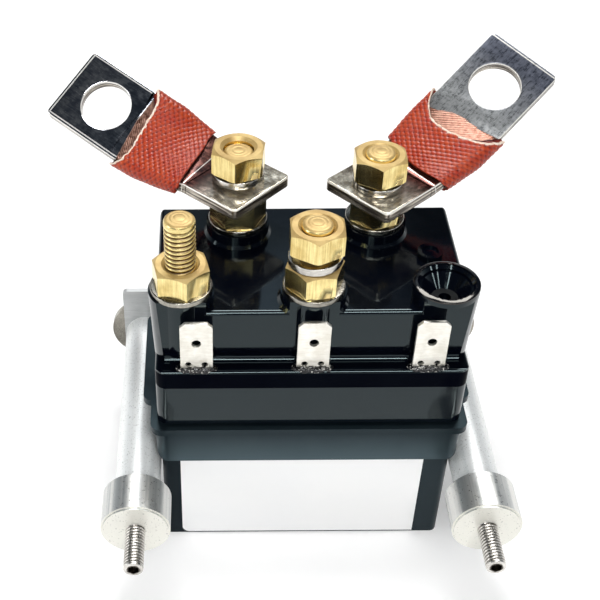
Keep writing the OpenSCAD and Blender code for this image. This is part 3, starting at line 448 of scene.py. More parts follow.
def lugMaterial(name, near, far, reach, metallic, roughness, mottling=0.5, sideHighlight=7.7):
    # tinned copper whose tones run from near to far along the strap, reach being both places in mm;
    # the run is partly the tin's own tone and partly painted reflection, such as the sleeve's dark red on a
    # foot's far end; the last argument places a painted highlight line that many mm off the middle, and
    # another painted highlight line runs across the tip
    tipHighlight = 9.0
    material, shader = startMaterial(name, near[1], metallic, roughness[0])
    place = ownPlace("strapPlace")
    brushed = grain(ownPlace("strapPlace", (0.5, 7, 7)), 1, 4, 0.6)
    mottle = grain(place, mottling, 6, 0.68)
    shade = spread(calc("ADD", brushed, calc("MULTIPLY", mottle, 1.4)), 1.0, 1.4)
    along, level = axisOf(place, "X"), axisOf(place, "Z")
    across = calc("ABSOLUTE", axisOf(place, "Y"), 0)
    run = spread(calc("ADD", along, calc("MULTIPLY", mottle, 3.0)), *(r + 1.5 for r in reach))
    color = mixColors(run, mixColors(shade, *near), mixColors(shade, *far))
    # the sides, lower than the rounded upper edge, show pressed layers in a dark tone that is partly painted
    # shade
    layers = grain(ownPlace("strapPlace", (0.12, 0.12, 2.6)), 1, 3, 0.6)
    side = mixColors(spread(layers, 0.46, 0.6), (0.05, 0.038, 0.03), (0.55, 0.50, 0.42))
    color = mixColors(spread(level, 0.70, 0.78), side, color)
    # painted highlights: a pale, less metallic line along the rounded upper edge, and lines by the sides and
    # across the tip
    edge = calc("MULTIPLY", spread(level, 0.78, 0.88), spread(level, 1.18, 1.08))
    beyond = calc("MAXIMUM", calc("SUBTRACT", across, sideHighlight), calc("SUBTRACT", along, tipHighlight))
    outline = spread(calc("ABSOLUTE", beyond, 0), 0.2, 0.06)
    highlightLine = calc("MAXIMUM", edge, calc("MULTIPLY", outline, 0.8))
    paint(shader, mixColors(highlightLine, color, (0.95, 0.93, 0.87)))
    give(shader, "Metallic", spread(highlightLine, 0, 1, metallic, 0.15))
    give(shader, "Roughness", spread(shade, 0, 1, *roughness))
    normal = addBump(shader, brushed, 0.05, 0.03)
    addBump(shader, mottle, 0.04, 0.1, normal)
    return material


def braidMaterial():
    material, shader = startMaterial("copperBraid", (0.66, 0.36, 0.27), 1, 0.35)
    place = ownPlace("strapPlace")
    mottle = grain(place, 1.1, 5, 0.7)
    color = mixColors(spread(mottle, 0.35, 0.68), (0.15, 0.06, 0.04), (0.42, 0.25, 0.19))
    paint(shader, color)
    give(shader, "Roughness", spread(mottle, 0.3, 0.7, 0.28, 0.5))
    strands = addNode("TexWave", {"Vector": place, "Scale": 1.1, "Distortion": 1.0, "Detail": 2},
                      wave_type="BANDS", bands_direction="DIAGONAL").outputs["Fac"]
    addBump(shader, strands, 0.4, 0.2)
    return material


def sleeveMaterial():
    material, shader = startMaterial("redWeave", (0.42, 0.05, 0.03), 0, 0.4)
    place = ownPlace("strapPlace")
    height = addNode("Attribute", attribute_name="weave").outputs["Fac"]
    patch = spread(grain(place, 0.35, 3), 0.3, 0.7)
    raisedTone = mixColors(patch, (0.42, 0.034, 0.013), (0.51, 0.068, 0.016))
    # the weave's low places and the sleeve's lining get a painted shade
    creviceShade = mixColors(patch, (0.10, 0.004, 0.004), (0.17, 0.010, 0.006))
    paint(shader, mixColors(spread(height, 0.35, 0.95), creviceShade, raisedTone))
    give(shader, "Roughness", spread(grain(place, 1.3, 3), 0.3, 0.7, 0.16, 0.5))
    give(shader, "Specular IOR Level", 0.25)
    give(shader, "Coat Weight", 0.08)
    give(shader, "Coat Roughness", 0.12)
    addBump(shader, grain(place, 5, 4, 0.7), 0.35, 0.08)
    return material


def edgeMaterial():
    material, shader = startMaterial("creamEdge", (0.86, 0.72, 0.58), 0, 0.75)
    place = ownPlace("strapPlace")
    patch = spread(grain(place, 1.6, 3), 0.35, 0.65)
    paint(shader, mixColors(patch, (0.78, 0.52, 0.38), (0.93, 0.86, 0.76)))
    addBump(shader, grain(place, 7, 3), 0.5, 0.15)
    return material


def beadMaterial():
    # black with painted pale glints
    material, shader = startMaterial("blackSealant", (0.004, 0.004, 0.005), 0, 0.18)
    place = objectPlace()
    give(shader, "Roughness", spread(grain(place, 1800, 3), 0.35, 0.65, 0.12, 0.4))
    paintedGlint = spread(grain(place, 1700, 2), 0.60, 0.66)
    paint(shader, mixColors(paintedGlint, (0.002, 0.002, 0.003), (0.55, 0.54, 0.50)))
    addBump(shader, grain(place, 900, 3, 0.6), 0.5, 0.2)
    return material


def pillarMaterial():
    # turned aluminium: pale rods, collars with bands along their length and cream front faces
    collarBack = -0.0277
    material, shader = startMaterial("turnedAluminium", (0.8, 0.81, 0.8), 0.4, 0.3)
    place = objectPlace()
    bands = grain(objectPlace((420, 5, 420)), 1, 4, 0.6)
    specks = grain(place, 1900, 2, 0.6)
    onCollar = calc("LESS_THAN", axisOf(place, "Y"), collarBack)
    onFace = spread(facingOf("Y"), -0.8, -0.95)
    rod = mixColors(spread(bands, 0.35, 0.65), (0.76, 0.79, 0.79), (0.93, 0.95, 0.94))
    rod = mixColors(spread(specks, 0.58, 0.7, 0, 0.5), rod, (0.45, 0.46, 0.43))
    ring = mixColors(spread(bands, 0.40, 0.58), (0.44, 0.46, 0.46), (0.76, 0.76, 0.73))
    face = mixColors(spread(specks, 0.64, 0.74), (0.86, 0.85, 0.78), (0.55, 0.55, 0.50))
    paint(shader, mixColors(onFace, mixColors(onCollar, rod, ring), face))
    metallic = calc("MULTIPLY", spread(onCollar, 0, 1, 0.3, 0.75), spread(onFace, 0, 1, 1, 0.35))
    give(shader, "Metallic", metallic)
    give(shader, "Roughness", spread(specks, 0.3, 0.7, 0.26, 0.42))
    addBump(shader, bands, 0.06, 0.03)
    return material


def labelMaterial():
    material, shader = startMaterial("bareLabel", (0.88, 0.88, 0.88), 0, 0.4)
    place = objectPlace()
    cloud = spread(grain(place, 60, 4), 0.3, 0.7)
    paint(shader, mixColors(cloud, (0.97, 0.975, 0.98), (1.0, 1.0, 0.995)))
    give(shader, "Roughness", spread(grain(place, 700, 4), 0.3, 0.7, 0.34, 0.5))
    addBump(shader, grain(place, 3000, 3), 0.08, 0.03)
    return material


# offStrap puts the painted highlight line beyond the strap's sides
offStrap = 20  # a place beyond the strap's sides, so no line shows
finishes = {
    "coverGloss": coverMaterial("coverGloss", (0.64, 0.82, 0.84)),
    "coverLip": coverMaterial("coverLip", (1.0, 0.95, 0.85)),
    "caseMatt": caseMaterial(),
    "brass": brassMaterial("brass", (2600, 2600, 130), False),
    "brassTurned": brassMaterial("brassTurned", (600, 600, 2600), True),
    "windingWire": windingMaterial(),
    # the strap tones below are partly painted reflection, and their pale lines are painted highlights
    "tinnedLeft": lugMaterial("tinnedLeft", ((0.30, 0.33, 0.40), (0.66, 0.68, 0.74)),
                              ((0.42, 0.43, 0.50), (0.80, 0.78, 0.78)), (-7, 8), 1, (0.08, 0.18)),
    "tinnedRight": lugMaterial("tinnedRight", ((0.20, 0.21, 0.215), (0.34, 0.35, 0.355)),
                               ((0.05, 0.058, 0.08), (0.105, 0.115, 0.15)), (-6, 6), 0.55, (0.25, 0.38),
                               mottling=1.3, sideHighlight=offStrap),
    "tinnedFoot": lugMaterial("tinnedFoot", ((0.38, 0.33, 0.25), (0.92, 0.87, 0.74)),
                              ((0.04, 0.014, 0.012), (0.16, 0.06, 0.045)), (-3, 6), 0.75, (0.12, 0.26),
                              sideHighlight=offStrap),
    "copperBraid": braidMaterial(),
    "redWeave": sleeveMaterial(),
    "creamEdge": edgeMaterial(),
    "blackSealant": beadMaterial(),
    "turnedAluminium": pillarMaterial(),
    "bareLabel": labelMaterial(),
}
finishes.update({name: mouldedPlastic(name, *look) for name, look in plastics.items()})
finishes.update({name: workedMetal(name, *look) for name, look in metals.items()})
# the funnel's painted-shade disc mirrors little
give(shaderOf(finishes["mattBlack"]), "Specular IOR Level", 0.12)
# painted shade in the grub screws' thread valleys
paintValleyShade(finishes["threadedSteel"], (0.07, 0.06, 0.05))

slotFinish = {
    "case_plastic": "caseMatt", "cover_plastic": "coverGloss", "rubber_seal": "rubberSeal",
    "phenolic": "brownBoard", "nylon": "paleNylon", "zinc_steel": "zincSteel", "bright_steel": "stainless",
    "copper_wire": "windingWire", "copper": "copper", "brass": "brass", "tinned_copper": "zincSteel",
    "silicone_weave": "redWeave", "tinned_brass": "tinPlate", "sealant": "blackSealant",
    "label_film": "bareLabel", "aluminium": "turnedAluminium", "bracket_alloy": "rolledAluminium",
}
for part in frame["record"]["subparts"]:
    mesh = nodes[part["node"]].data
    mesh.materials.clear()
    mesh.materials.append(finishes[slotFinish[part["material_slot"]]])
print("materials made:", len(finishes))


# threaded studs
def threadedRod(size, length, sides):
    # a bar along Z whose thread runs out under a plain end with a rounded shoulder
    radius, pitch, depth = size.radius, size.pitch, size.depth
    endRun, plain = size.chamfer, size.plain
    rod = addCylinder(radius, length, (0, 0, length / 2), sides)
    selectIn(rod, "EDGE", lambda a, b: abs(a.z - b.z) > length / 2)
    bpy.ops.mesh.subdivide(number_cuts=int(length / pitch * 9), smoothness=0)
    endEdit()
    crests = []
    sharpness = 0.45
    for vertex in rod.data.vertices:
        x, y, z = vertex.co / mm
        reach = hypot(x, y)
        phase = (z / pitch - atan2(y, x) / (2 * pi)) % 1
        tooth = (0.5 - 0.5 * cos(2 * pi * phase)) ** sharpness
        run = min(1, max(0, (length - endRun - plain - z) / pitch + 0.4))
        above = min(endRun, max(0, z - (length - endRun)))
        target = radius - max(depth * (1 - tooth) * run, endRun - sqrt(endRun ** 2 - above ** 2))
        vertex.co.x, vertex.co.y = x / reach * target * mm, y / reach * target * mm
        crests.append(1 - (1 - tooth) * run)
    keepValues(rod, "thread", crests)
    return rod


def ringTip(rod, length, steps):
    selectIn(rod, "FACE", lambda center, normal: normal.z > 0.9 and center.z > length - 0.01)
    for inward, upward in steps:
        bpy.ops.mesh.inset(thickness=inward * mm)
        bpy.ops.transform.translate(value=(0, 0, upward * mm))
    endEdit()


def lowerBody(nodeName, place, direction):
    # the hidden part of a stud: the CAD's own body, cut off where the thread starts
    body = placeCopy(nodes[nodeName], nodeName + "Body", Matrix())
    body.parent = None
    editAll(body)
    bpy.ops.mesh.remove_doubles(threshold=mergeGap)
    bpy.ops.mesh.bisect(plane_co=place, plane_no=direction, clear_outer=True, use_fill=True)
    endEdit()
    keepValues(body, "thread", np.ones(len(body.data.vertices)))
    return body


terminalStud = Sizes(radius=3.0, pitch=1.0, depth=0.42, chamfer=0.95, plain=0.5, sides=56)
# length of each threaded end, and the rings of its tip as steps inward and up
studTips = {
    "stud_front_left": (12.5, [(0.12, -0.07), (0.14, 0.09), (0.5, 0.12), (0.12, -0.07), (0.14, 0.08),
                               (0.42, 0.06)]),
    "stud_front_middle": (5.0, [(0.12, -0.06), (0.14, 0.1), (0.55, 0.1), (0.12, -0.05), (0.14, 0.04)]),
    "stud_back_left": (4.0, [(0.12, -0.06), (0.14, 0.06), (0.6, 0.0), (0.12, -0.06), (0.14, 0.04)]),
    "stud_back_right": (5.0, [(0.12, -0.06), (0.14, 0.1), (0.5, 0.12), (0.12, -0.06), (0.14, 0.06)]),
}
for nodeName, (length, tip) in studTips.items():
    low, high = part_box(nodeName)
    rise = max(0, *np.cumsum([up for _, up in tip]))
    base = Vector(((low.x + high.x) / 2, (low.y + high.y) / 2, high.z - (length + rise) * mm))
    rod = threadedRod(terminalStud, length, terminalStud.sides)
    ringTip(rod, length, tip)
    smooth(rod)
    rod.data.transform(Matrix.Translation(base))
    stud = joinPieces([rod, lowerBody(nodeName, base, (0, 0, 1))], nodeName.replace("stud", "threadedStud"))
    seat(stud, stud.name, "brassTurned", "brass", nodeName)
print("terminal studs threaded")

pillarStud = Sizes(radius=2.0, pitch=0.7, depth=0.3, chamfer=0.4, plain=0, sides=44, length=9.5, socket=1.15,
                   socketDepth=2.0)


def makeGrubScrew(nodeName, size):
    low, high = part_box(nodeName)
    rod = threadedRod(size, size.length, size.sides)
    cutWith(rod, addCylinder(size.socket, size.socketDepth * 2, (0, 0, size.length), 6))
    smooth(rod, 60)
    base = Vector(((low.x + high.x) / 2, low.y + size.length * mm, (low.z + high.z) / 2))
    rod.data.transform(Matrix.Translation(base) @ Matrix.Rotation(radians(90), 4, "X"))
    rest = lowerBody(nodeName, base, (0, -1, 0))
    screw = joinPieces([rod, rest], nodeName.replace("pillar_stud", "grubScrew"))
    seat(screw, screw.name, "threadedSteel", "bright_steel", nodeName)


makeGrubScrew("pillar_stud_left", pillarStud)
makeGrubScrew("pillar_stud_right", pillarStud)
print("grub screws threaded")


# each return spring is pressed between its core and its plunger; it is copied from its CAD part, which is
# hidden
for side in ("left", "right"):
    nodeName = f"return_spring_{side}"
    low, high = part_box(nodeName)
    mesh = nodes[nodeName].data.copy()
    mesh.transform(nodes[nodeName].matrix_world)
    spring = addObject(f"pressedSpring{side.title()}", mesh)
    mesh.name = spring.name
    editAll(spring)
    bpy.ops.mesh.remove_doubles(threshold=mergeGap)
    endEdit()
    smooth(spring, 40)
    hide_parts(nodeName)
    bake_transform(spring)
print("return springs set")


# nuts and washers
nutSize = Sizes(acrossFlats=10.0, height=5.0, highNut=6.1, bore=3.02, lead=0.75, topFace=4.75, lowFace=5.45,
                chamfer=30)


def makeNut(size, height):
    corner = size.acrossFlats / 2 / cos(radians(30))
    nut = addCylinder(corner, height, (0, 0, height / 2), 6, (0, 0, radians(30)))
    outer = corner + 1.2
    lathe = addCylinder(outer, height, (0, 0, height / 2), 96)  # a disc with both edges turned off
    for way, face in ((1, size.topFace), (-1, size.lowFace)):
        selectIn(lathe, "FACE", lambda center, normal: normal.z * way > 0.9)
        bpy.ops.mesh.inset(thickness=(outer - face) * mm)
        endEdit()
        for vertex in lathe.data.vertices:
            if vertex.co.xy.length > (outer - 0.1) * mm and (vertex.co.z > height / 2 * mm) == (way > 0):
                vertex.co.z -= way * (outer - face) * tan(radians(size.chamfer)) * mm
    cutWith(nut, lathe, "INTERSECT")
    cutWith(nut, addCylinder(size.bore, height * 2, (0, 0, height / 2)))
    deselectAll()
    bore, lead = size.bore, size.lead
    bpy.ops.mesh.primitive_cone_add(vertices=64, radius1=(bore - 0.1) * mm, radius2=(bore + lead) * mm,
                                    depth=(lead + 0.1) * mm, location=(0, 0, (height - lead / 2 + 0.05) * mm))
    applyPlace()
    cutWith(nut, bpy.context.object)
    softenEdges(nut, 0.09, 2, 20)
    return nut


def copyRound(source, places, name, keep=False):
    # copies at places, each turned by its degrees, joined as one piece
    pieces = []
    for index, (place, turn) in enumerate(places):
        matrix = Matrix.Translation(Vector(place) * mm) @ Matrix.Rotation(radians(turn), 4, "Z")
        pieces.append(placeCopy(source, f"{name}{index}", matrix))
    if not keep:
        bpy.data.objects.remove(source)
    return joinPieces(pieces, name)


studXY = [(-25.3, -12.6), (0, -12.6), (-14, 9.5), (14, 9.5)]
levels = Sizes(boss=64.3, washer=65.5, lowerNut=70.5, middleNut=74.1, leftStrap=74.0, leftNut=77.0,
               rightStrap=72.9, rightNut=75.1)
nut = makeNut(nutSize, nutSize.height)
lowerPlaces = [((*studXY[i], levels.washer), turn) for i, turn in ((0, -78), (1, -110), (3, -99))]
upperPlaces = [((*studXY[1], levels.middleNut), -91), ((*studXY[2], levels.leftNut), -98),
               ((*studXY[3], levels.rightNut), -91)]
lowerNuts = copyRound(nut, lowerPlaces, "lowerNuts", keep=True)
highNut = copyRound(makeNut(nutSize, nutSize.highNut), [((*studXY[2], levels.washer), -118)], "highNut")
seat(joinPieces([lowerNuts, highNut], "lowerHexNuts"), "lowerHexNuts", "brass", "brass", "lower_nuts")
seat(copyRound(nut, upperPlaces, "upperHexNuts"), "upperHexNuts", "brass", "brass", "upper_nuts")
print("nuts made")

washerSize = Sizes(outer=6.0, inner=3.2, thick=1.2)


def makeWasher(size):
    washer = addCylinder(size.outer, size.thick, (0, 0, size.thick / 2), 96)
    cutWith(washer, addCylinder(size.inner, size.thick * 3, (0, 0, size.thick / 2)))
    softenEdges(washer, 0.28, 4, 40)
    return washer


washer = makeWasher(washerSize)
flatPlaces = [((*place, levels.boss), 0) for place in studXY]
seat(copyRound(washer, flatPlaces, "flatWashers"), "flatWashers", "zincSteel", "zinc_steel", "stud_washers")

springSize = Sizes(outer=5.2, inner=3.15, thick=1.6, gap=8, leftRise=1.4, rightRise=0.6, looseRise=2.0)


def makeSpringWasher(size, rise):
    deselectAll()
    middle = (size.outer + size.inner) / 2
    bpy.ops.mesh.primitive_plane_add(size=1, location=(middle * mm, 0, size.thick / 2 * mm),
                                     rotation=(radians(90), 0, 0))
    ring = bpy.context.object
    ring.scale = ((size.outer - size.inner) * mm, size.thick * mm, 1)
    applyPlace()
    sweep = 360 - size.gap
    editAll(ring)
    bpy.ops.mesh.spin(steps=72, angle=radians(sweep), center=(0, 0, 0), axis=(0, 0, 1))
    bpy.ops.mesh.select_all(action="SELECT")
    bpy.ops.mesh.remove_doubles(threshold=mergeGap)
    bpy.ops.mesh.normals_make_consistent(inside=False)
    endEdit()
    for vertex in ring.data.vertices:
        angle = degrees(atan2(vertex.co.y, vertex.co.x)) % 360
        share = min(angle, sweep) / sweep if angle < sweep + size.gap / 2 else 0
        vertex.co.z += share * rise * mm
    softenEdges(ring, 0.16, 3, 40)
    return ring


leftWasher = copyRound(makeSpringWasher(springSize, springSize.leftRise),
                       [((*studXY[2], levels.leftStrap), -6)], "leftWasher")
rightWasher = copyRound(makeSpringWasher(springSize, springSize.rightRise),
                        [((*studXY[3], levels.rightStrap), 204)], "rightWasher")
seat(joinPieces([leftWasher, rightWasher], "setSpringWashers"), "setSpringWashers", "springSteel",
     "zinc_steel", "spring_washers")
looseWasher = makeSpringWasher(springSize, springSize.looseRise)
loosePlaces = [((*studXY[1], levels.lowerNut), 150)]
seat(copyRound(looseWasher, loosePlaces, "looseSpringWasher"), "looseSpringWasher", "springSteel",
     "zinc_steel", "loose_spring_washer")
print("washers made")


# straps and sleeves
strapSize = Sizes(width=16.6, thick=2.4, inset=0.4, sideInset=0.15, footEnd=6.6, tip=9.6, press=7.4,
                  stud=3.2, hole=5.25, corner=1.0, edge=0.42, plateEdge=0.3, neck=5.5, overlap=0.6,
                  braidOverlap=0.8, bendNear=3.5, bendFar=5)
# places in mm, turns in degrees; near and mouth give a sleeve end's run along the strap, across its width
strapPaths = {
    "left": {"foot": (-14, 9.5, 72.8), "hole": (-41, 27.5, 80.1), "lay": 137, "heading": 146, "rise": 17,
             "roll": -31, "tongue": 18.9, "slant": -0.15,
             "near": {-9: 4.6, -6: 4.5, -2: 3.8, 2: 3.5, 6: 3.0, 9: 2.3},
             "mouth": {-9: 19.4, -8: 18.2, -6.5: 17.2, -4: 16.7, 0: 16.4, 4: 16.0, 6: 15.9, 8: 16.4,
                       9: 17.2}},
    "right": {"foot": (14, 9.5, 71.7), "hole": (39.1, 27.9, 83.6), "lay": 42, "heading": 39, "rise": 26.3,
              "roll": 18.7, "tongue": 16.3, "slant": -0.25,
              "near": {-9: 3.4, -6: 2.7, -2: 2.4, 2: 2.8, 6: 3.6, 9: 4.4},
              "mouth": {-9: 17.4, -8: 16.0, -6: 14.8, -3: 13.5, 0: 12.7, 3: 12.3, 5: 12.8, 7: 14.2,
                        8: 15.8, 9: 17.4}},
}


def travel(heading, rise):
    h, r = radians(heading), radians(rise)
    return Vector((cos(h) * cos(r), sin(h) * cos(r), sin(r)))


def faceUp(heading, rise, roll):
    h, r, o = (radians(a) for a in (heading, rise, roll))
    level = Vector((-cos(h) * sin(r), -sin(h) * sin(r), cos(r)))
    return cos(o) * level - sin(o) * Vector((-sin(h), cos(h), 0))


class StrapCurve:
    # the strap's middle line between its pressed ends, met by its run in mm
    def __init__(self, path):
        self.headLow = travel(path["lay"], 0)
        self.headHigh = travel(path["heading"], path["rise"])
        self.upHigh = faceUp(path["heading"], path["rise"], path["roll"])
        self.start = Vector(path["foot"]) + strapSize.press * self.headLow
        self.end = Vector(path["hole"]) - strapSize.press * self.headHigh
        self.shares = np.linspace(0, 1, 401)
        spots = [self.at(float(t))[0] for t in self.shares]
        self.runs = np.cumsum([0] + [(b - a).length for a, b in zip(spots, spots[1:])])
        self.length = float(self.runs[-1])
        self.mouth, self.near = ((list(row), list(row.values())) for row in (path["mouth"], path["near"]))

    def at(self, t):
        a, d = self.start, self.end
        b, e = a + strapSize.bendNear * self.headLow, d - strapSize.bendFar * self.headHigh
        spot = (1 - t) ** 3 * a + 3 * t * (1 - t) ** 2 * b + 3 * t * t * (1 - t) * e + t ** 3 * d
        slope = (3 * (1 - t) ** 2 * (b - a) + 6 * t * (1 - t) * (e - b) + 3 * t * t * (d - e)).normalized()
        return spot, slope

    def place(self, run):
        t = float(np.interp(run, self.runs, self.shares))
        spot, slope = self.at(t)
        share = t * t * (3 - 2 * t)
        up = (1 - share) * Vector((0, 0, 1)) + share * self.upHigh
        up = (up - up.dot(slope) * slope).normalized()
        beyond = min(run, 0) + max(run - self.length, 0)
        return spot + beyond * slope, up.cross(slope), up


def pressedEnd(far, near, hole, matrix):
    width, thick = strapSize.width, strapSize.thick
    end = addBlock((far + near, width, thick), ((far - near) / 2, 0, 0))
    selectIn(end, "EDGE", lambda a, b: (a.xy - b.xy).length < 0.01)
    bpy.ops.mesh.bevel(offset=strapSize.corner * mm, segments=6, affect="EDGES")
    endEdit()
    cutWith(end, addCylinder(hole, thick * 3, (0, 0, 0)))
    softenEdges(end, strapSize.edge, 5, 40)
    keepValues(end, "strapPlace", [tuple(v.co / mm) for v in end.data.vertices])
    end.data.transform(matrix)
    return end


def ringFaces(rings, count, closed):
    # faces between rings of count points; closed joins the last ring to the first
    faces = []
    for i in range(rings if closed else rings - 1):
        low, high = i * count, (i + 1) % rings * count
        faces += [(low + j, low + (j + 1) % count, high + (j + 1) % count, high + j) for j in range(count)]
    return faces


def sweptTube(curve, name, outline, steps, low, high, slant=0.0, shift=0.0):
    points, own = [], []
    count = len(outline)
    for i in range(steps + 1):
        for v, w in outline:
            run = low + (high - low) * i / steps + slant * v * (1 - i / steps)
            spot, across, up = curve.place(run)
            points.append((spot + v * across + w * up) * mm)
            own.append((run + shift, v, w))
    faces = ringFaces(steps + 1, count, False)
    faces.append(tuple(range(count - 1, -1, -1)))
    faces.append(tuple(steps * count + j for j in range(count)))
    tube = newMesh(name, points, faces)
    keepValues(tube, "strapPlace", own)
    return tube


def ovalOutline(width, thick, count):
    # places along a flat bar's section with round sides, its second half mirroring the first
    flat, radius = width - thick, thick / 2
    half = flat + pi * radius
    outline = []
    for i in range(count):
        s = (i + 0.5) / count * 2 * half
        way, s = (1, s) if s < half else (-1, s - half)
        a = max(0, s - flat) / radius
        x = min(s, flat) - flat / 2 + radius * sin(a)
        outline.append((way * x, -way * radius * cos(a)))
    return outline, 2 * half


sleeveSize = Sizes(gap=0.3, wall=0.8, across=0.84, along=0.57, relief=0.5, wave=0.18, swell=0.35, around=260,
                   steps=84, liningSteps=24)


def yarnHeight(u, run, width, length):
    # how high the pebbled braid stands at u round the sleeve: rows of ovals, every other row half a step on
    best = 0
    row = floor(run / length)
    for i in (row - 1, row, row + 1, row + 2):
        step = 0.5 * (i % 2)
        j = floor(u / (2 * width) - step + 0.5)
        shift = noise.noise(Vector((i * 1.7, j * 2.3, 5))) * 0.16
        du = (u / (2 * width) - step - j) * 2 + shift
        dr = run / length - i + shift
        best = max(best, 1 - du ** 2 - (dr / 0.98) ** 2)
    return sqrt(best)


def makeSleeve(curve, side):
    size = sleeveSize
    innerW, innerT = strapSize.width + 2 * size.gap, strapSize.thick + 2 * size.gap
    count, steps, liningSteps = size.around, size.steps, size.liningSteps
    outer, around = ovalOutline(innerW + 2 * size.wall, innerT + 2 * size.wall, count)
    inner, _ = ovalOutline(innerW, innerT, count)
    yarnWidth = around / round(around / size.across / 2) / 2
    points, own, weave = [], [], []

    def endRuns(j):
        x, w = outer[j]
        drift = [size.wave * noise.noise(Vector((x * 0.8, w * 0.8, 2 + 5 * end))) for end in (0, 1)]
        top = min(1, max(0, w / 1.2))
        mouth = top * float(np.interp(x, *curve.mouth)) + (1 - top) * (curve.length - 0.6)
        near = float(np.interp(x, *curve.near)) + 0.8 * (1 - top)
        return near + drift[0], mouth + drift[1]

    ends = [endRuns(j) for j in range(count)]

    def addRing(share, lining):
        for j in range(count):
            u = j / count * around
            low, high = ends[j]
            run = low + (high - low) * share
            spot, across, up = curve.place(run)
            (x, w), (ix, iw) = outer[j], inner[j]
            height = yarnHeight(u, run, yarnWidth, size.along)
            out = Vector((x - ix, w - iw)).normalized()
            loose = size.swell * (0.5 + noise.noise(Vector((x * 0.16, w * 0.2, run * 0.2))))
            loose *= min(1, share * 3, (1 - share) * 6 + 0.35)
            # the lining's weave height of 0.3 paints it in the crevice shade
            if lining:
                x, w, height = ix + out.x * loose, iw + out.y * loose, 0.3
            else:
                swell = loose + size.relief * (height - 0.8)
                x, w = x + out.x * swell, w + out.y * swell
            points.append((spot + x * across + w * up) * mm)
            own.append((run, u, lining))
            weave.append(height)

    for i in range(steps + 1):
        addRing(i / steps, 0)
    for i in range(liningSteps + 1):
        addRing(1 - i / liningSteps, 1)
    sleeve = newMesh(f"sleeve{side}", points, ringFaces(steps + liningSteps + 2, count, True))
    keepValues(sleeve, "strapPlace", own)
    keepValues(sleeve, "weave", weave)
    finishMesh(sleeve)
    rim = [(Vector(points[steps * count + j]) / mm, Vector(points[(steps + 1) * count + j]) / mm)
           for j in range(count)]
    return sleeve, rim


edgeSize = Sizes(inward=0.28, along=0.30, middle=0.24, wave=0.06, sides=8)


def makeCutEdge(rim, curve, side):
    # the thick pale edge of the sleeve's open mouth, swept round its rim
    size = edgeSize
    ringSides = size.sides
    points, own = [], []
    for j, (outside, lining) in enumerate(rim):
        inward = (lining - outside).normalized()
        lift = size.wave * noise.noise(Vector((j * 0.12, 4, 0)))
        base = outside + inward * size.middle + curve.headHigh * lift
        for k in range(ringSides):
            a = 2 * pi * k / ringSides
            spot = base + inward * cos(a) * size.inward + curve.headHigh * sin(a) * size.along
            points.append(spot * mm)
            own.append((j * 0.18, cos(a), sin(a)))
    edge = newMesh(f"cutEdge{side}", points, ringFaces(len(rim), ringSides, True))
    keepValues(edge, "strapPlace", own)
    finishMesh(edge)
    return edge


def plateOutline(half, thick, radius):
    # a plate's section with its four corners rounded, sides first
    corners = []
    w, t = half - radius, thick - radius
    for cx, cw, start in ((-w, -t, 180), (w, -t, 270), (w, t, 0), (-w, t, 90)):
        for step in (0, 30, 60, 90):
            angle = radians(start + step)
            corners.append((cx + radius * cos(angle), cw + radius * sin(angle)))
    return corners


for side, path in strapPaths.items():
    word = side.title()
    curve = StrapCurve(path)
    level = Vector((0, 0, 1))
    footMatrix = placeMatrix(path["foot"], curve.headLow, level.cross(curve.headLow), level)
    holeMatrix = placeMatrix(path["hole"], curve.headHigh, curve.upHigh.cross(curve.headHigh), curve.upHigh)
    foot = pressedEnd(strapSize.press, strapSize.footEnd, strapSize.stud, footMatrix)
    lug = pressedEnd(strapSize.tip, strapSize.press, strapSize.hole, holeMatrix)
    braidW, braidT = strapSize.width - 2 * strapSize.sideInset, strapSize.thick - strapSize.inset
    braidOutline, _ = ovalOutline(braidW, braidT, 72)
    beyond = strapSize.braidOverlap
    braid = sweptTube(curve, f"braid{word}", braidOutline, 60, -beyond, curve.length + beyond)
    finishMesh(braid, 50)
    plate = plateOutline(strapSize.width / 2, strapSize.thick / 2, strapSize.plateEdge)
    neck = sweptTube(curve, f"neck{word}", plate, 16, -strapSize.overlap, strapSize.neck,
                     shift=strapSize.press)
    finishMesh(neck, 30)
    tongue = sweptTube(curve, f"tongue{word}", plate, 6, path["tongue"], curve.length + strapSize.overlap,
                       path["slant"], shift=-curve.length - strapSize.press)
    finishMesh(tongue, 30)
    metalPieces = {"strapFoot": (foot, "tinnedFoot"), "strapLug": (lug, f"tinned{word}"),
                   "braid": (braid, "copperBraid"), "strapNeck": (neck, "tinnedFoot"),
                   "strapTongue": (tongue, f"tinned{word}")}
    for name, (piece, finish) in metalPieces.items():
        seat(piece, name + word, finish, "tinned_copper", f"strap_{side}")
    sleeve, rim = makeSleeve(curve, word)
    seat(sleeve, f"wovenSleeve{word}", "redWeave", "silicone_weave", f"sleeve_{side}")
    edge = makeCutEdge(rim, curve, word)
    seat(edge, f"sleeveCutEdge{word}", "creamEdge", "silicone_weave")
print("straps and sleeves made")


# spade tabs and their sealant beads
tabSize = Sizes(width=6.3, thick=0.8, height=11.7, root=2.0, chamfer=1.0, hole=0.9, holeDrop=5.0, slotX=1.6,
                slotZ=1.3, slotR=0.6, edge=0.14)
ledgeZ, tabY, tabPitch = 49.8, -19.8, 22.5


def makeTab(size):
    height = size.height + size.root
    tab = addBlock((size.width, size.thick, height), (0, size.thick / 2, height / 2 - size.root))
    top = size.height
    selectIn(tab, "EDGE", lambda a, b: abs(a.y - b.y) > 0.5 and min(a.z, b.z) > top - 0.1)
    bpy.ops.mesh.bevel(offset=size.chamfer * mm, segments=1, affect="EDGES")
    endEdit()
    flat = (radians(90), 0, 0)
    cutWith(tab, addCylinder(size.hole, 5, (0, 0, top - size.holeDrop), 40, flat))
    for x in (-1, 1):
        cutWith(tab, addCylinder(size.slotR, 5, (x * size.slotX, 0, size.slotZ), 32, flat))
    softenEdges(tab, size.edge, 2, 30)
    return tab


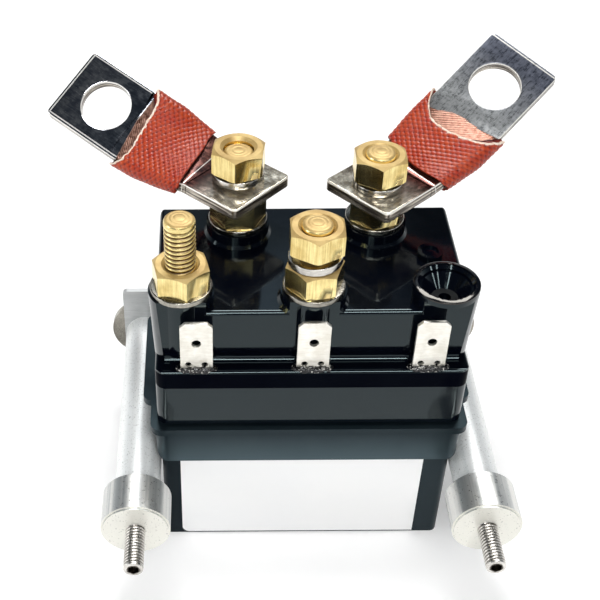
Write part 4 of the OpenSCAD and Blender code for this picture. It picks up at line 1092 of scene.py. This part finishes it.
tab = makeTab(tabSize)
for side, x in (("left", -tabPitch), ("middle", 0), ("right", tabPitch)):
    twin = placeCopy(tab, f"spadeTab_{side}", Matrix.Translation((x * mm, tabY * mm, ledgeZ * mm)))
    seat(twin, f"spadeTab_{side}", "tinPlate", "tinned_brass", f"tab_{side}")
bpy.data.objects.remove(tab)

beadSize = Sizes(halfW=4.2, halfD=1.25, height=0.95, roughness=0.22)


def makeBead(size, x, seed):
    deselectAll()
    bpy.ops.mesh.primitive_uv_sphere_add(segments=64, ring_count=32, radius=1)
    bead = bpy.context.object
    for vertex in bead.data.vertices:
        px, py, pz = vertex.co
        box = 1 / max(1e-6, (abs(px) ** 4 + abs(py) ** 4 + abs(pz) ** 4) ** 0.25) if px or py or pz else 1
        px, py, pz = px * box ** 0.6, py * box ** 0.6, pz * box ** 0.3
        spot = Vector((px * size.halfW * 1.1 + seed, py * 1.6, pz * 2))
        rough = size.roughness * noise.fractal(spot, 0.7, 2.1, 4)
        bulge = 1 + rough * 0.9
        vertex.co = Vector((x + px * size.halfW * (1 + rough * 0.12),
                            tabY + 0.4 + py * size.halfD * bulge,
                            ledgeZ - 0.15 + max(pz, -0.2) * size.height * bulge)) * mm
    smooth(bead)
    return bead


beads = [makeBead(beadSize, x, 3.7 * (i + 1)) for i, x in enumerate((-tabPitch, 0, tabPitch))]
seat(joinPieces(beads, "sealantBeads"), "sealantBeads", "blackSealant", "sealant", "tab_sealant")
print("tabs and beads made")


# fillet at the back of the cover's ledge
filletSize = Sizes(length=57.6, radius=1.1, back=-16.9)


def makeFillet(size):
    radius = size.radius
    block = addBlock((size.length, radius + 0.2, radius + 0.2),
                     (0, size.back - radius / 2 + 0.1, ledgeZ + radius / 2 - 0.1))
    cutWith(block, addCylinder(radius, size.length + 2, (0, size.back - radius, ledgeZ + radius), 96,
                               (0, radians(90), 0)))
    smooth(block, 20)
    return block


seat(makeFillet(filletSize), "ledgeFillet", "coverGloss", "cover_plastic")

# lip of the empty boss's funnel: its top falls outward and catches the light
funnelXY = (25.3, -12.6)
lipSize = Sizes(outer=6.38, inner=5.5, low=65.0, high=65.68, fall=0.17)


def makeLip(size):
    lip = addCylinder(size.outer, size.high - size.low, (0, 0, (size.high - size.low) / 2), 96)
    selectIn(lip, "FACE", lambda center, normal: normal.z > 0.9)
    bpy.ops.mesh.inset(thickness=(size.outer - size.inner) * mm)
    endEdit()
    for vertex in lip.data.vertices:
        if vertex.co.xy.length > (size.outer - 0.1) * mm and vertex.co.z > 0.1 * mm:
            vertex.co.z -= size.fall * mm
    cutWith(lip, addCylinder(size.inner + 0.02, 4, (0, 0, 0), 96))
    softenEdges(lip, 0.12, 3, 30)
    lip.data.transform(Matrix.Translation(Vector((*funnelXY, size.low)) * mm))
    return lip


seat(makeLip(lipSize), "funnelLip", "coverLip", "cover_plastic")

# painted shade: a thin matt black disc on the funnel's floor round its drain hole keeps the shaded floor dark
ringSize = Sizes(outer=2.58, hole=1.2, thick=0.05, middle=61.74)
shadeDisc = addCylinder(ringSize.outer, ringSize.thick, (*funnelXY, ringSize.middle), 48)
cutWith(shadeDisc, addCylinder(ringSize.hole, 2, (*funnelXY, ringSize.middle), 48))
seat(shadeDisc, "funnelShadeDisc", "mattBlack", "cover_plastic")

# the columns of the two front bosses run up to the bosses' tops
columnSize = Sizes(radius=5.0, height=3.7, middle=62.4)
columns = [addCylinder(columnSize.radius, columnSize.height, (*place, columnSize.middle), 96)
           for place in studXY[:2]]
for column in columns:
    smooth(column, 30)
seat(joinPieces(columns, "bossColumns"), "bossColumns", "coverGloss", "cover_plastic")


# studio
def makeFloor():
    deselectAll()
    bpy.ops.mesh.primitive_plane_add(size=6, location=(0, 0, -0.0001))  # a hair under the case
    floor = bpy.context.object
    floor.name = "studioFloor"
    material, shader = startMaterial("paleFloor", (0.86, 0.86, 0.86), 0, 0.9)
    give(shader, "Specular IOR Level", 0.1)
    rays = addNode("LightPath")
    seen = calc("MAXIMUM", rays.outputs["Is Camera Ray"], rays.outputs["Is Glossy Ray"])
    seen = calc("MAXIMUM", seen, rays.outputs["Is Transmission Ray"])
    away = addNode("VectorMath", {0: objectPlace()}, operation="LENGTH").outputs["Value"]
    strength = spread(away, 0.3, 1.5, 0.27, 1.1)  # keeps shadows near the object and a white distance
    glow = addNode("Emission", {"Color": (1, 1, 1, 1), "Strength": strength})
    both = addNode("AddShader", {0: shader.outputs[0], 1: glow.outputs[0]})
    mix = addNode("MixShader", {0: seen, 1: shader.outputs[0], 2: both.outputs[0]})
    give(material.node_tree.nodes["Material Output"], "Surface", mix.outputs[0])
    floor.data.materials.append(material)


def makeWorld():
    world = bpy.data.worlds.new("studioWorld")
    bpy.context.scene.world = world
    world.use_nodes = True
    current["tree"] = world.node_tree
    background = world.node_tree.nodes["Background"]
    rays = addNode("LightPath").outputs
    place = addNode("TexCoord").outputs["Generated"]
    height = axisOf(place, "Z")
    level = spread(height, 0.06, 0.42, 1.0, 0.05)
    # a cloudy bright patch behind and above, which only mirrors see
    toward = addNode("VectorMath", {0: place, 1: (-0.027, 0.766, 0.643)},
                     operation="DOT_PRODUCT").outputs["Value"]
    clouds = spread(grain(place, 9, 3), 0.42, 0.6, 0.3, 1.0)
    patch = calc("MULTIPLY", spread(toward, 0.978, 0.997, 0.0, 0.8), clouds)
    level = calc("ADD", level, patch)
    strength = calc("MULTIPLY", level, rays["Is Glossy Ray"])
    strength = calc("MAXIMUM", strength, spread(rays["Is Diffuse Ray"], 0, 1, 0, 0.3))
    for ray in ("Is Camera Ray", "Is Transmission Ray"):
        strength = calc("MAXIMUM", strength, rays[ray])
    cold = calc("MULTIPLY", rays["Is Glossy Ray"], spread(height, 0.1, 0.45))
    give(background, "Color", mixColors(cold, (1, 1, 1), (0.72, 0.86, 1.0)))
    give(background, "Strength", strength)


# place and size in metres, watts, and the rays that see the lamp
lamps = {
    "overheadSoftbox": ((-0.05, 0.3, 1.0), (0.34, 0.3), 5.6, "diffuse"),
    "fillSoftbox": ((0.05, -0.75, 0.7), (0.5, 0.3), 4.6, "diffuse"),
    "leftSoftbox": ((-0.95, -0.2, 0.35), (0.3, 0.4), 2.2, "diffuse and glossy"),
    "barHigh": ((-0.13, -0.84, 0.665), (0.24, 0.03), 0.6, "glossy"),
    "barLow": ((-0.13, -0.87, 0.575), (0.24, 0.03), 0.6, "glossy"),
    "edgePanel": ((0.12, 0.45, 0.86), (0.7, 0.3), 9.0, "glossy"),
    "frontPanel": ((0.08, -0.55, 0.83), (0.5, 0.16), 6.0, "glossy"),
    "coneFirst": ((0.772, -0.432, 0.467), (0.05, 0.14), 0.3, "glossy"),
    "coneSecond": ((0.518, -0.645, 0.562), (0.05, 0.14), 0.3, "glossy"),
    "coneThird": ((-0.25, -0.72, 0.648), (0.07, 0.14), 0.4, "glossy"),
}
lampAim = Vector((0, 0, 0.04))


def makeLamps():
    for name, (place, size, power, rays) in lamps.items():
        data = bpy.data.lights.new(name, "AREA")
        data.shape = "RECTANGLE"
        data.size, data.size_y = size
        data.energy = power
        obj = addObject(name, data)
        obj.location = place
        obj.rotation_euler = (lampAim - Vector(place)).to_track_quat("-Z", "Y").to_euler()
        obj.visible_glossy = "glossy" in rays
        obj.visible_diffuse = "diffuse" in rays


makeFloor()
makeWorld()
makeLamps()
bpy.context.scene.view_settings.view_transform = "Standard"
print("studio set")
